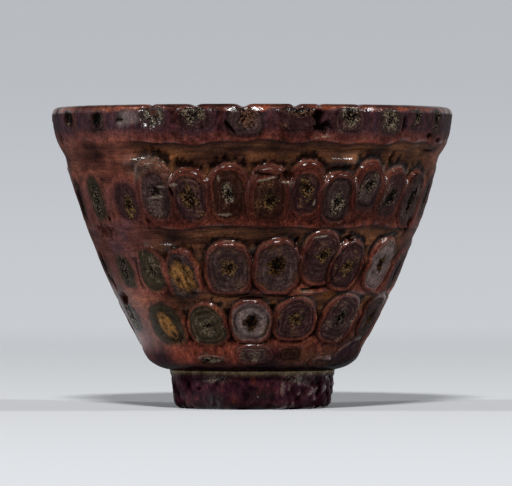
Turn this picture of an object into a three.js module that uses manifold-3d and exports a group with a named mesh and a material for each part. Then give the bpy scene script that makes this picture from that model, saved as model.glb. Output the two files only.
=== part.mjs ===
// A tea cup carved from the root end of a bamboo stem. The stem wall is turned to a bowl on a low
// foot, and the roots that grew through the wall are pared off level with the outside, so that
// their cut ends show as rows of oval scars. Millimetres, +Z up, the front of the cup towards -Y.

import * as THREE from "three";
import { mergeVertices } from "three/addons/utils/BufferGeometryUtils.js";
import Module from "manifold-3d";

const wasm = await Module();
wasm.setup();

// Outside of the bowl
const CUP_HEIGHT = 66;
const MOUTH_RADIUS = 44;
const LIP_BAND_HEIGHT = 10.8;
const LIP_ROUND = 1.4;
const LIP_SWELL = 0.7;
const WAIST_RADIUS = 41.2;
const BELLY_BULGE = 1.5;
const HEEL_RADIUS = 24.2;
const HEEL_RISE = 5;
const HEEL_UNDERCUT = 0.9;
const LEDGE_PROUD = 0.5;
const LEDGE_HALF_HEIGHT = 1;

// Inside of the bowl
const RIM_WALL = 4.2;
const RIM_INNER_ROUND = 0.8;
const BASE_WALL = 7.8;
const FLOOR_THICKNESS = 2.6;
const FLOOR_ROUND = 5;

// Foot, with a tenon that stands in a mortise under the bowl
const FOOT_HEIGHT = 8.4;
const FOOT_RADIUS = 18;
const FOOT_TAPER = 0.7;
const FOOT_EDGE_ROUND = 2.2;
const FOOT_RING_WIDTH = 4.6;
const FOOT_HOLLOW = 1.4;
const TENON_RADIUS = 10.5;
const TENON_HEIGHT = 2.2;

// Roots, each in its own socket in the wall
const ROOT_DEPTH = 2.4;
const ROOT_PROUD = 0.55;
const ROOT_DISH = 0.6;
const ROOT_SHEATH = 0.9;
const ROOT_TAPER = 0.5;
const CLEARANCE = 0.3;

// Scars of the lip and base whorls, pared into the bowl itself
const SCAR_DEPTH = 0.55;
const LIP_SCAR_DROP = 4.3;
const LIP_SCAR_WIDTH = 8.6;
const LIP_SCAR_HEIGHT = 6.6;
const LIP_SCAR_TURNS = [-65, -50, -38, -28, -16.5, -2, 12.5, 28, 42.5, 55, 68];
const LIP_SCARS_BEHIND = 14;
const BASE_SCAR_RISE = 3.6;
const BASE_SCAR_WIDTH = 6;
const BASE_SCAR_HEIGHT = 3.6;
const BASE_SCAR_TURNS = [-46, -21, 0, 21, 42, 66];
const BASE_SCARS_BEHIND = 8;

// Facets round the bowl, the foot and each root
const BOWL_SIDES = 44;
const FOOT_SIDES = 32;
const ROOT_SIDES = 10;
const SCAR_SIDES = 7;

// The seated whorls. Each place is a share of the belly from heel to waist. Each front root gives its
// turn in degrees from the front, then how far its rise, width and height differ from its whorl's.
const WHORLS = [
  {
    name: "upper",
    place: 0.785,
    width: 8.2,
    height: 12.2,
    front: [
      [-78, -0.3, -0.2, -0.4], [-61.5, -0.2, -0.4, 0], [-45, -1, 0.3, -1.2], [-32.5, 1, 0.4, 2],
      [-20.5, -0.3, 0.2, 0.4], [-7.5, 0.3, 0.2, 0.8], [5.5, 0, 0.2, 0.8], [17.5, 1.3, -0.6, 0.4],
      [28.5, -0.6, -0.6, -0.4], [40, 1.8, -0.6, -0.6], [51.5, 0.3, -0.4, -0.2], [65, -0.6, 0, 0.4],
      [79, 0, -0.4, -0.4],
    ],
    behind: 12,
    behindWidth: 9.4,
  },
  {
    name: "middle",
    place: 0.415,
    width: 9,
    height: 11.6,
    front: [
      [-78, 0, -0.6, -2], [-57.5, -0.7, -1.4, -2.2], [-42, -0.4, -1.6, -0.6], [-28, -1.7, -0.8, 0.4],
      [-9, -0.2, 1.4, 0.4], [9.7, 0.3, 1.6, 0.6], [26.4, 2.3, 0.2, 0.8], [38.5, 0.6, -0.4, -0.2],
      [57.5, 0.8, 0, 0.8], [76, -0.6, -0.6, -2],
    ],
    behind: 8,
    behindWidth: 10.8,
  },
  {
    name: "lower",
    place: 0.14,
    width: 9.4,
    height: 9.8,
    front: [
      [-70, 1, -0.4, -1.2], [-44, -0.5, 1, 0.8], [-21.3, -0.8, -0.4, -0.2], [-0.3, 0, 0, 0.2],
      [20, 0.5, 0.2, 0.2], [44, 0.6, 1, 1.6], [70, 1, 0.2, 0.4],
    ],
    behind: 7,
    behindWidth: 10.8,
  },
];
// Roots behind depart from an even spread by a wave along the whorl.
const BEHIND_WAVES = {
  turn: { by: 2, rate: 2.4, shift: 0 },
  rise: { by: 0.8, rate: 1.7, shift: 1 },
  width: { by: 0.5, rate: 3.1, shift: 0 },
  height: { by: 0.7, rate: 2.1, shift: 2 },
};

const MATERIALS = {
  culm: new THREE.MeshStandardMaterial({ color: 0x5a2e24, roughness: 0.34, metalness: 0 }),
  foot: new THREE.MeshStandardMaterial({ color: 0x351a1a, roughness: 0.38, metalness: 0 }),
  root: new THREE.MeshStandardMaterial({ color: 0x463433, roughness: 0.4, metalness: 0 }),
};

// A closed geometry as a solid. Triangles that close to a line at the poles are left out.
function solidFrom(geometry) {
  const bare = geometry.clone();
  bare.deleteAttribute("normal");
  bare.deleteAttribute("uv");
  const merged = mergeVertices(bare);
  const corners = merged.index.array;
  const triangles = [];
  for (let i = 0; i < corners.length; i += 3) {
    const [a, b, c] = [corners[i], corners[i + 1], corners[i + 2]];
    if (a !== b && b !== c && c !== a) triangles.push(a, b, c);
  }
  return new wasm.Manifold(new wasm.Mesh({
    numProp: 3,
    vertProperties: new Float32Array(merged.attributes.position.array),
    triVerts: new Uint32Array(triangles),
  }));
}

function geometryFrom(solid) {
  const mesh = solid.getMesh();
  const geometry = new THREE.BufferGeometry();
  geometry.setAttribute("position", new THREE.BufferAttribute(mesh.vertProperties, 3));
  geometry.setIndex(new THREE.BufferAttribute(mesh.triVerts, 1));
  geometry.computeVertexNormals();
  return geometry;
}

function turned(points, sides) {
  return new THREE.LatheGeometry(points, sides).rotateX(Math.PI / 2);
}

const point = (radius, height) => new THREE.Vector2(radius, height);
const arc = (from, through, to) => new THREE.QuadraticBezierCurve(from, through, to);

// The outside runs from the foot joint round the heel, up the belly and out to the lip.
const heel = point(HEEL_RADIUS, FOOT_HEIGHT + HEEL_RISE);
const waist = point(WAIST_RADIUS, CUP_HEIGHT - LIP_BAND_HEIGHT);
const lipCrest = point(MOUTH_RADIUS, CUP_HEIGHT - LIP_ROUND);
const footJoint = point(FOOT_RADIUS, FOOT_HEIGHT);

function bulged(from, to, bulge) {
  const along = to.clone().sub(from).normalize();
  const out = point(along.y, -along.x);
  const middle = from.clone().lerp(to, 0.5);
  return arc(from, middle.addScaledVector(out, 2 * bulge), to);
}

const heelCurve = arc(footJoint, point(HEEL_RADIUS - HEEL_UNDERCUT, FOOT_HEIGHT + HEEL_UNDERCUT), heel);
const bellyCurve = bulged(heel, waist, BELLY_BULGE);
const lipCurve = bulged(waist, lipCrest, LIP_SWELL);
const outside = [...heelCurve.getPoints(12), ...bellyCurve.getPoints(40), ...lipCurve.getPoints(12)];

function outsideRadius(height) {
  const above = outside.findIndex((p) => p.y > height);
  if (above === -1) return outside[outside.length - 1].x;
  const high = outside[above];
  const low = outside[Math.max(above - 1, 0)];
  const share = high.y === low.y ? 1 : (height - low.y) / (high.y - low.y);
  return low.x + (high.x - low.x) * Math.max(share, 0);
}

const bellyHeight = (place) => heel.y + (waist.y - heel.y) * place;

// A low ledge rings the belly between one whorl and the next.
function ledgeHeights() {
  return WHORLS.slice(1).map((below, i) => {
    const above = WHORLS[i];
    const top = bellyHeight(above.place) - above.height / 2;
    const bottom = bellyHeight(below.place) + below.height / 2;
    return (top + bottom) / 2;
  });
}

function bellyProfile() {
  const ledges = ledgeHeights();
  const clearOfLedges = (p) => ledges.every((height) => Math.abs(p.y - height) > 2 * LEDGE_HALF_HEIGHT);
  const smooth = bellyCurve.getPoints(7).filter(clearOfLedges);
  const ridges = ledges.flatMap((height) => [
    point(outsideRadius(height - LEDGE_HALF_HEIGHT), height - LEDGE_HALF_HEIGHT),
    point(outsideRadius(height) + LEDGE_PROUD, height),
    point(outsideRadius(height + LEDGE_HALF_HEIGHT), height + LEDGE_HALF_HEIGHT),
  ]);
  return [...smooth, ...ridges].sort((a, b) => a.y - b.y);
}

// The inside follows the outside, and the wall thickens from the rim to the floor.
const mortiseTop = FOOT_HEIGHT + TENON_HEIGHT + CLEARANCE;
const floorHeight = mortiseTop + FLOOR_THICKNESS;

function insideRadius(height) {
  const share = (CUP_HEIGHT - height) / (CUP_HEIGHT - floorHeight);
  return outsideRadius(height) - RIM_WALL - (BASE_WALL - RIM_WALL) * share;
}

function bowlProfile() {
  const mortiseRadius = TENON_RADIUS + CLEARANCE;
  const rimEdge = point(MOUTH_RADIUS - LIP_ROUND, CUP_HEIGHT);
  const lipEdge = arc(lipCrest, point(MOUTH_RADIUS, CUP_HEIGHT), rimEdge);
  const innerRim = point(insideRadius(CUP_HEIGHT) + RIM_INNER_ROUND, CUP_HEIGHT);
  const wallTop = CUP_HEIGHT - RIM_INNER_ROUND;
  const wallFoot = floorHeight + FLOOR_ROUND;
  const wallSteps = 6;
  const innerWall = Array.from({ length: wallSteps + 1 }, (_, i) => {
    const height = wallTop + (wallFoot - wallTop) * (i / wallSteps);
    return point(insideRadius(height), height);
  });
  const corner = innerWall[wallSteps];
  const wallMeetsFloor = point(insideRadius(floorHeight), floorHeight);
  const floorEdge = point(wallMeetsFloor.x - FLOOR_ROUND, floorHeight);
  const floorCurve = arc(corner, wallMeetsFloor, floorEdge);
  return [
    point(0, mortiseTop),
    point(mortiseRadius, mortiseTop),
    point(mortiseRadius, FOOT_HEIGHT),
    ...heelCurve.getPoints(4).slice(0, -1),
    ...bellyProfile(),
    ...lipCurve.getPoints(4).slice(1),
    ...lipEdge.getPoints(2).slice(1),
    innerRim,
    ...innerWall,
    ...floorCurve.getPoints(3).slice(1),
    point(0, floorHeight),
  ];
}

// A frame on the outside of the bowl: X along the surface to the right, Y up the slope, Z outwards.
function surfaceFrame(turn, height) {
  const angle = THREE.MathUtils.degToRad(turn);
  const reachUp = LEDGE_HALF_HEIGHT;
  const slope = (outsideRadius(height + reachUp) - outsideRadius(height - reachUp)) / (2 * reachUp);
  const out = new THREE.Vector3(Math.sin(angle), -Math.cos(angle), 0);
  const across = new THREE.Vector3(Math.cos(angle), Math.sin(angle), 0);
  const up = out.clone().multiplyScalar(slope).add(new THREE.Vector3(0, 0, 1)).normalize();
  const normal = across.clone().cross(up);
  const origin = out.multiplyScalar(outsideRadius(height)).add(new THREE.Vector3(0, 0, height));
  return new THREE.Matrix4().makeBasis(across, up, normal).setPosition(origin);
}

// Turns of copies spread evenly over the back, between the last and the first of the front ones.
function turnsBehind(first, last, count) {
  const gap = (360 + first - last) / (count + 1);
  return Array.from({ length: count }, (_, i) => last + gap * (i + 1));
}

function whorlRoots(whorl) {
  const first = whorl.front[0][0];
  const last = whorl.front[whorl.front.length - 1][0];
  const wave = ({ by, rate, shift }, i) => by * Math.sin(rate * i + shift);
  const behind = turnsBehind(first, last, whorl.behind).map((turn, i) => [
    turn + wave(BEHIND_WAVES.turn, i),
    wave(BEHIND_WAVES.rise, i),
    whorl.behindWidth - whorl.width + wave(BEHIND_WAVES.width, i),
    wave(BEHIND_WAVES.height, i),
  ]);
  return [...whorl.front, ...behind].map(([turn, rise, width, height], i) => ({
    name: `${whorl.name}_root_${String(i + 1).padStart(2, "0")}`,
    frame: surfaceFrame(turn, bellyHeight(whorl.place) + rise),
    halfWidth: (whorl.width + width) / 2,
    halfHeight: (whorl.height + height) / 2,
  }));
}

// One root end: a tapered plug with a raised sheath round a dished face.
function rootBlank(root, grow) {
  const back = -ROOT_DEPTH - grow;
  const ring = (inset, height) => point(1 - inset / root.halfWidth, height);
  const profile = [
    point(0, back),
    ring(ROOT_TAPER, back),
    ring(0, ROOT_PROUD / 2 + grow),
    ring(ROOT_SHEATH / 2, ROOT_PROUD + grow),
    ring(ROOT_SHEATH, ROOT_PROUD / 2 + grow),
    point(0, ROOT_PROUD - ROOT_DISH + grow),
  ];
  return turned(profile, ROOT_SIDES).scale(root.halfWidth + grow, root.halfHeight + grow, 1);
}

// Half the root's extent along a direction in its own frame.
function reach(root, direction) {
  return Math.hypot(root.halfWidth * direction.x, root.halfHeight * direction.y);
}

// Where two roots crowd each other, both are pared back to a plane between them.
function crowdingPlanes(root, others) {
  const planes = [];
  const intoRoot = root.frame.clone().invert();
  const origin = new THREE.Vector3().setFromMatrixPosition(root.frame);
  for (const other of others) {
    if (other === root) continue;
    const centre = new THREE.Vector3().setFromMatrixPosition(other.frame);
    const distance = centre.distanceTo(origin);
    const direction = centre.clone().applyMatrix4(intoRoot).normalize();
    const back = origin.clone().applyMatrix4(other.frame.clone().invert()).normalize();
    const [own, theirs] = [reach(root, direction), reach(other, back)];
    if (distance > own + theirs + 2 * CLEARANCE) continue;
    planes.push({ direction, offset: (distance * own) / (own + theirs) - CLEARANCE / 2 });
  }
  return planes;
}

function beyond(plane, grow) {
  const size = 4 * Math.max(...WHORLS.map((whorl) => whorl.height));
  const block = new THREE.BoxGeometry(size, size, size).translate(0, 0, size / 2 + plane.offset + grow);
  const turn = new THREE.Quaternion().setFromUnitVectors(new THREE.Vector3(0, 0, 1), plane.direction);
  return solidFrom(block.applyQuaternion(turn));
}

function rootSolid(root, planes, grow) {
  return planes.reduce((solid, plane) => solid.subtract(beyond(plane, grow)),
    solidFrom(rootBlank(root, grow)));
}

// A shallow pared scar, as a cone that is cut out of the bowl. The cone crosses the outside along the
// scar's outline and runs on to twice that size above it.
function scar(turn, height, width, tall) {
  const profile = [point(0, -SCAR_DEPTH), point(2, SCAR_DEPTH), point(0, SCAR_DEPTH)];
  const cone = turned(profile, SCAR_SIDES).scale(width / 2, tall / 2, 1);
  return solidFrom(cone.applyMatrix4(surfaceFrame(turn, height)));
}

function scarRow(turns, behind, height, width, tall) {
  const all = [...turns, ...turnsBehind(turns[0], turns[turns.length - 1], behind)];
  return all.map((turn) => scar(turn, height, width, tall));
}

function footProfile() {
  const ringOuter = FOOT_RADIUS - FOOT_TAPER - FOOT_EDGE_ROUND;
  const ringInner = ringOuter - FOOT_RING_WIDTH;
  const shoulder = FOOT_HEIGHT - CLEARANCE;
  const edge = arc(
    point(ringOuter, 0),
    point(FOOT_RADIUS - FOOT_TAPER, 0),
    point(FOOT_RADIUS - FOOT_TAPER, FOOT_EDGE_ROUND),
  );
  return [
    point(0, FOOT_HOLLOW),
    point(ringInner - FOOT_HOLLOW, FOOT_HOLLOW),
    point(ringInner, 0),
    ...edge.getPoints(3),
    point(FOOT_RADIUS, shoulder),
    point(TENON_RADIUS, shoulder),
    point(TENON_RADIUS, FOOT_HEIGHT + TENON_HEIGHT),
    point(0, FOOT_HEIGHT + TENON_HEIGHT),
  ];
}

const roots = WHORLS.flatMap(whorlRoots);
const cup = new THREE.Group();

let bowl = solidFrom(turned(bowlProfile(), BOWL_SIDES));
for (const root of roots) {
  const planes = crowdingPlanes(root, roots);
  const mesh = new THREE.Mesh(geometryFrom(rootSolid(root, planes, 0)), MATERIALS.root);
  mesh.name = root.name;
  root.frame.decompose(mesh.position, mesh.quaternion, mesh.scale);
  cup.add(mesh);
  const socket = geometryFrom(rootSolid(root, planes, CLEARANCE)).applyMatrix4(root.frame);
  bowl = bowl.subtract(solidFrom(socket));
}

const lipScarHeight = CUP_HEIGHT - LIP_SCAR_DROP;
const baseScarHeight = FOOT_HEIGHT + BASE_SCAR_RISE;
const scars = [
  ...scarRow(LIP_SCAR_TURNS, LIP_SCARS_BEHIND, lipScarHeight, LIP_SCAR_WIDTH, LIP_SCAR_HEIGHT),
  ...scarRow(BASE_SCAR_TURNS, BASE_SCARS_BEHIND, baseScarHeight, BASE_SCAR_WIDTH, BASE_SCAR_HEIGHT),
];
for (const cut of scars) bowl = bowl.subtract(cut);

const bowlMesh = new THREE.Mesh(geometryFrom(bowl), MATERIALS.culm);
bowlMesh.name = "bowl";
cup.add(bowlMesh);

const footMesh = new THREE.Mesh(turned(footProfile(), FOOT_SIDES), MATERIALS.foot);
footMesh.name = "foot";
cup.add(footMesh);

export default cup;
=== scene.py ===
"""Bamboo root cup: a hollowed stem, its pared root ends and its foot, as numpy surfaces in oiled wood."""
import math
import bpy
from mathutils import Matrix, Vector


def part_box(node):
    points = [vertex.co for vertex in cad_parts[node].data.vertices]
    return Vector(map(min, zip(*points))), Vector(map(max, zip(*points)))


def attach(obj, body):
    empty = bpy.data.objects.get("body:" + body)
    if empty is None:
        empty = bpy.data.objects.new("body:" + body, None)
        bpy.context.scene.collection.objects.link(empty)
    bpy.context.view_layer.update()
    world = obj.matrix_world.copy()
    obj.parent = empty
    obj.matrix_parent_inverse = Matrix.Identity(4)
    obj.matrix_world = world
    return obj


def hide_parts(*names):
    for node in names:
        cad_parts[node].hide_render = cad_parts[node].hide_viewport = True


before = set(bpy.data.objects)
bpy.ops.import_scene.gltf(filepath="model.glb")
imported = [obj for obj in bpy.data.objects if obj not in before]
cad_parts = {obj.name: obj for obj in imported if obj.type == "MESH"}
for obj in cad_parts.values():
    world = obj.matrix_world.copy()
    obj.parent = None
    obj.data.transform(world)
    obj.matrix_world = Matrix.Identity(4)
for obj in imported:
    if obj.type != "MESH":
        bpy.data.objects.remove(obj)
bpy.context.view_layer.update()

from types import SimpleNamespace
from typing import NamedTuple

import bpy
import numpy as np
from bpy.props import FloatProperty, FloatVectorProperty, IntProperty, PointerProperty
from mathutils import Vector

bl_info = {
    "name": "Bamboo root cup",
    "version": (1, 0, 0),
    "blender": (4, 5, 0),
    "location": "View3D > Sidebar > Cup",
    "description": "Builds a bamboo root cup with its whorls of root ends, its foot and a studio",
    "category": "Add Mesh",
}

MM = 0.001


def linear(code):
    """Linear colour of an sRGB hex value: each channel goes through the sRGB transfer curve."""
    channels = [int(code[i:i + 2], 16) / 255 for i in (1, 3, 5)]
    return tuple(c / 12.92 if c <= 0.04045 else ((c + 0.055) / 1.055) ** 2.4 for c in channels)


def length(name, description, size):
    """A property that holds a length, given in metres."""
    return FloatProperty(name=name, description=description, default=size, unit="LENGTH", precision=4)


def watts(name, description, power):
    """A property that holds a lamp's power in watts."""
    return FloatProperty(name=name, description=description, default=power, min=0)


def colour(name, description, code):
    """A property that holds a colour, given as an sRGB hex value."""
    return FloatVectorProperty(
        name=name, description=description, default=linear(code), subtype="COLOR", size=3, min=0, max=1
    )


BOWL_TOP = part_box("bowl")[1][2]
FOOT_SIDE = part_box("foot")[1][0]


class CupShape(bpy.types.PropertyGroup):
    """Sizes of the bowl and the foot."""

    height: length("Height", "Height of the rim above the table", BOWL_TOP)
    mouth: length("Mouth radius", "Outside radius just under the rim", 44 * MM)
    lip_band: length("Lip band", "Height of the band under the rim", 10.8 * MM)
    lip_round: length("Lip round", "Rounding of the rim's outer edge", 1.4 * MM)
    lip_swell: length("Lip swell", "How far the lip band bulges out", 0.7 * MM)
    waist: length("Waist radius", "Outside radius below the lip band", 41.2 * MM)
    belly_bulge: length("Belly bulge", "How far the belly bulges out", 1.5 * MM)
    heel: length("Heel radius", "Outside radius above the turn-in to the foot", 24.2 * MM)
    heel_rise: length("Heel rise", "Height of the turn-in above the foot", 5 * MM)
    heel_undercut: length("Heel undercut", "How sharply the heel turns in", 0.9 * MM)
    rim_wall: length("Rim wall", "Thickness of the wall at the rim", 4.2 * MM)
    base_wall: length("Base wall", "Thickness of the wall at the floor", 7.8 * MM)
    floor: length("Floor height", "Height of the inside floor above the table", 13.5 * MM)
    foot_height: length("Foot height", "Height of the joint between foot and bowl", 8.4 * MM)
    foot_radius: length("Foot radius", "Radius of the foot at its joint", FOOT_SIDE)
    columns: IntProperty(name="Columns", description="Steps round the bowl", default=600, min=96)


class CupFinish(bpy.types.PropertyGroup):
    """Colours of the cup's wood."""

    stem: colour("Stem", "Oiled stem wall between the roots", "#4e231a")
    stem_worn: colour("Worn stem", "Stem wall worn smooth by the hand", "#62362c")
    lip: colour("Lip", "Band under the rim", "#332127")
    rim: colour("Rim", "Cut edge of the mouth", "#64301b")
    cove: colour("Cove", "Hollow band between two whorls", "#3c241b")
    amber: colour("Amber", "Warm fibres in the hollows and crowns", "#5a371f")
    # Also painted shade: in the sunk corners and the coves along the roots, in the rim's notches and along
    # its top, and low on the heel and the foot.
    crevice_and_shade: colour("Crevice", "Dirt in the joints round the roots", "#0b0504")
    heel: colour("Heel", "Turn-in above the foot", "#5c2b20")
    inside: colour("Inside", "Hollowed and oiled inside wall", "#552818")
    sheath: colour("Sheath", "Red sheath round a root end", "#4f251c")
    plum: colour("Plum", "Dark root end", "#2d1b1b")
    umber: colour("Umber", "Brown root end", "#2b1711")
    slate: colour("Slate", "Grey root end", "#332523")
    moss: colour("Moss", "Greenish root end", "#30281d")
    lilac: colour("Lilac", "Pale grey root end", "#544744")
    pale: colour("Pale pith", "Crumbs of pale pith", "#7a6a58")
    gold: colour("Gold pith", "Crumbs of golden pith", "#6c5033")
    ochre: colour("Ochre pith", "Broad patches of pith", "#5e3f20")
    # Also the painted highlight line along the top of each sheath.
    blush_and_highlight: colour("Blush pith", "Crumbs of pinkish pith", "#6a4a3a")
    # Also the pale specks on the foot, which are partly painted highlights.
    bone: colour("Bone", "Chipped and scraped places", "#6e6153")
    foot: colour("Foot", "Dark wood of the foot", "#2a131a")
    foot_red: colour("Foot streaks", "Red streaks in the foot", "#3c1710")
    # The seam's pale colour is partly painted light where the heel shades it.
    seam: colour("Seam", "Seam between foot and bowl", "#75644a")


class CupStage(bpy.types.PropertyGroup):
    """Camera, light and backdrop."""

    lens: FloatProperty(name="Lens", description="Focal length in millimetres", default=415.5, min=10)
    distance: length("Camera distance", "From the cup's axis", 1.3)
    eye: length("Eye height", "Height of the camera", 0.040)
    aim: length("Aim height", "Height that the camera looks at", 0.0362)
    aside: length("Aside", "How far the camera stands to the right of the axis", 0.00084)
    key_power: watts("Key light", "Power of the soft key", 145.0)
    strip_power: watts("Strip lights", "Power of each side strip", 42.0)
    floor: colour("Floor", "Paper that the cup stands on", "#d2d4d7")
    backdrop: colour("Backdrop", "Far grey of the studio", "#b8bbc0")
    horizon: colour("Horizon", "Grey where the floor runs out", "#c9ccd0")


class Pith(NamedTuple):
    """Core of a root end: its size and place in mm, its black middle, its crumbs and what they lie on."""

    across: float = 3.2
    tall: float = 3.8
    right: float = 0.0
    up: float = 0.0
    core: float = 0.35
    crumbs: float = 0.5
    crumb: str = "pale"
    ground: str = "crevice_and_shade"
    lean: float = 0.0


class RootLook(NamedTuple):
    """How one root end was pared: its face, its sheath, its outline and its pith."""

    face: str = "plum"
    pith: Pith = Pith()
    sheath: float = 1.0
    proud: float = 1.0
    thick: float = 0.5
    soft: float = 0.3
    gap: float = 0.8
    crown: float = 0.0
    bone: float = 0.0
    rings: float = 0.5
    dark_ring: float = 0.0
    square: float = 2.3
    lean: float = 0.0


class Root(NamedTuple):
    """A root end on the wall: where it sits, its half sizes in mm and its look."""

    name: str
    whorl: str
    turn: float
    run: float
    wide: float
    tall: float
    look: RootLook
    seed: int


HOLLOW = Pith(across=2.0, tall=5.4, core=1.2, crumbs=0.0)
GRAIN = Pith()
BARE = Pith(0.4, 0.4, core=0.0, crumbs=0.0, ground="face")
FUZZY = Pith(core=0.2, crumbs=0.15, ground="face")
WORN = RootLook("umber", HOLLOW, sheath=0.0, proud=0.0, thick=1.6, soft=1.2, gap=0.0, rings=0.3)
PARED = RootLook("umber", GRAIN, sheath=0.85, thick=1.2, soft=0.7, gap=0.15, square=2.4)
CRISP = RootLook("plum", GRAIN, sheath=0.9, thick=0.85, soft=0.4)
TIGHT = RootLook("plum", GRAIN, sheath=0.85, thick=0.7, soft=0.35, gap=1.0, square=2.4)
CUT = RootLook("plum", GRAIN, sheath=0.15, proud=0.2, thick=0.8, soft=0.7, gap=0.1, square=2.4)

# Looks of the root ends on the worn side and the front, in order from the left.
UPPER_LOOKS = [
    WORN._replace(pith=HOLLOW._replace(across=3.0, tall=8)),
    WORN._replace(face="moss", pith=Pith(3.0, 7.0, 0, 0, 0.3, 0.25)),
    WORN._replace(face="plum", pith=Pith(3.4, 5.4, 0.4, -0.9, 0.35, 0.6, "gold")),
    PARED._replace(face="slate", pith=FUZZY, sheath=0.8, proud=1.3, crown=1.8, bone=0.8, square=2.2),
    PARED._replace(face="plum", pith=Pith(3.6, 6.4, 0.1, 0.1, 0.5, 0.5, "gold"), rings=0.8),
    PARED._replace(pith=Pith(2.8, 4.6, 0, 0.2, 0.35, 0.55)),
    PARED._replace(pith=Pith(3.4, 4.6, 0.1, -0.9, 0.45, 0.55, "gold"), crown=1.2, bone=0.15),
    PARED._replace(
        face="plum", pith=Pith(3.2, 4.2, 0.2, 0.4, 0.42, 0.6, "gold"), crown=1.4, rings=0.7, square=2.2
    ),
    PARED._replace(
        face="slate", pith=Pith(3.6, 4.8, 0.2, -0.9, 0.4, 0.6), proud=1.2, dark_ring=0.72, rings=0.8
    ),
    PARED._replace(
        face="slate", pith=Pith(3.0, 3.8, 0, 0.7, 0.6, 0.5), proud=1.2, crown=1.0, dark_ring=0.6, square=2.2
    ),
    PARED._replace(face="plum", pith=Pith(3.2, 5.6, 0, -0.6, 0.75, 0.35, lean=18), proud=0.8, lean=12),
    PARED._replace(
        face="slate", pith=Pith(3.0, 5.4, 0, -0.4, 0.7, 0.3, lean=8),
        sheath=0.3, dark_ring=0.86, lean=6, gap=0.7,
    ),
    WORN._replace(face="slate"),
]
MIDDLE_LOOKS = [
    WORN,
    WORN._replace(face="moss", pith=Pith(3.0, 6.0, 0, 0, 0.3, 0.25), thick=1.2),
    WORN._replace(face="moss", pith=FUZZY, thick=0.9, soft=0.8),
    CRISP._replace(
        face="slate", pith=Pith(7.4, 8.8, 0.1, 0.0, 0, 0.3, "gold", "ochre", -10),
        sheath=0.2, proud=0.3, gap=0, soft=0.6,
    ),
    CRISP._replace(face="slate", pith=Pith(4.2, 4.4, 0, 0.0, 0.45, 0.7, "gold"), rings=1.0),
    CRISP._replace(
        face="slate", pith=Pith(4.2, 4.6, -0.2, 0.2, 0.45, 0.35, "ochre"), rings=0.65, square=2.15
    ),
    CRISP._replace(pith=Pith(3.6, 4.0, 0.2, 0.6, 0.4, 0.6, "gold"), proud=0.9),
    CRISP._replace(pith=Pith(3.6, 4.4, 0, -0.4, 0.3, 0.7, "gold", lean=10), proud=0.9, dark_ring=0.8, lean=8),
    CRISP._replace(
        face="lilac", pith=Pith(2.6, 4.2, 0, 0, 0.35, 0.4, "ochre"), sheath=0.6, proud=0.5, rings=0.6, lean=12
    ),
    WORN._replace(face="slate", thick=0.8, soft=0.6, lean=10),
]
LOWER_LOOKS = [
    WORN._replace(pith=Pith(4.4, 6.0, 0, 0, 0.15, 0.4), thick=1.2),
    WORN._replace(
        face="moss", pith=Pith(4.8, 8.6, 0.3, -0.6, 0, 0.3, "gold", "ochre", -20), thick=0.6, soft=0.8
    ),
    TIGHT._replace(face="moss", pith=FUZZY, sheath=0.4, proud=0.4, rings=1.4, lean=-8, gap=0.4),
    TIGHT._replace(
        face="lilac", pith=Pith(3.8, 4.4, 0, -0.1, 0.5, 0.3, "ochre"), thick=0.9, rings=0.9, dark_ring=0.7
    ),
    TIGHT._replace(pith=Pith(3.2, 3.6, 0, 0.2, 0.3, 0.6, "gold"), proud=0.7, rings=0.7),
    TIGHT._replace(pith=Pith(3.6, 3.8, 0, 0, 0.4, 0.25), proud=0.7, rings=0.7, lean=10),
    TIGHT._replace(
        face="slate", pith=Pith(3.0, 5.0, 0, 0, 0.35, 0.5, "ochre", lean=12), proud=0.4, lean=12
    ),
]
BEHIND_LOOKS = [
    CRISP._replace(face="slate", pith=Pith(4.2, 4.2, 0, 0, 0.4, 0.6, "gold"), rings=0.8),
    CRISP._replace(face="umber", crown=0.8),
    CRISP._replace(face="slate", pith=Pith(3.2, 4.2, 0.2, 0.3, 0.5, 0.5, "gold"), dark_ring=0.7),
    CRISP._replace(pith=FUZZY, proud=0.7, rings=0.9),
    CRISP._replace(
        face="moss", pith=Pith(3.8, 5.4, 0, -0.3, 0.1, 0.5, "gold", "ochre"), sheath=0.7, proud=0.6
    ),
    CRISP._replace(face="lilac", proud=0.8, dark_ring=0.66),
]

# Roots of the lip whorl: turn in degrees, drop below the rim, width and height in mm, and look.
LIP_ROOTS = [
    (-65, 2.8, 6.0, 5.0, CUT._replace(face="umber", pith=Pith(4.6, 3.6, 0, 0.4, 0.8, 0.1))),
    (-50, 3.6, 6.6, 6.4, CUT._replace(pith=Pith(3.8, 4.0, 0.2, 1.0, 0.5, 0.05))),
    (-29.5, 2.6, 7.0, 5.8, CUT._replace(face="slate", pith=Pith(5.4, 4.8, 0, 0.4, 0.3, 0.5), thick=0.4)),
    (-16.5, 3.0, 8.4, 6.6, CUT._replace(pith=Pith(5.2, 4.4, -0.3, 0.9, 0.3, 0.5))),
    (-2, 3.9, 9.2, 8.2, CUT._replace(
        face="slate", pith=Pith(3.6, 5.6, 0.5, 1.2, 0.1, 0.55, "blush_and_highlight"), dark_ring=0.86, rings=1.0
    )),
    (12.8, 3.4, 9.6, 7.2, CUT._replace(pith=Pith(9.0, 2.8, 0, 2.0, 0.3, 0.45, "blush_and_highlight"))),
    (28.5, 3.6, 9.4, 7.2, CUT._replace(pith=Pith(3.8, 5.0, 0.2, 0.9, 0.45, 0.6), rings=0.7)),
    (43, 3.7, 7.8, 7.4, CUT._replace(face="slate", pith=Pith(4.0, 6.0, 0.2, 0.6, 0.35, 0.6, lean=10))),
    (54.5, 2.8, 4.4, 5.4, CUT._replace(pith=Pith(2.2, 3.8, 0, 0.5, 0.5, 0.3, lean=14), lean=10)),
    (67, 3.2, 6.0, 7.0, CUT._replace(face="slate", pith=Pith(2.8, 5.0, 0, 0, 0.5, 0.3, lean=16), lean=14)),
]
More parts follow.
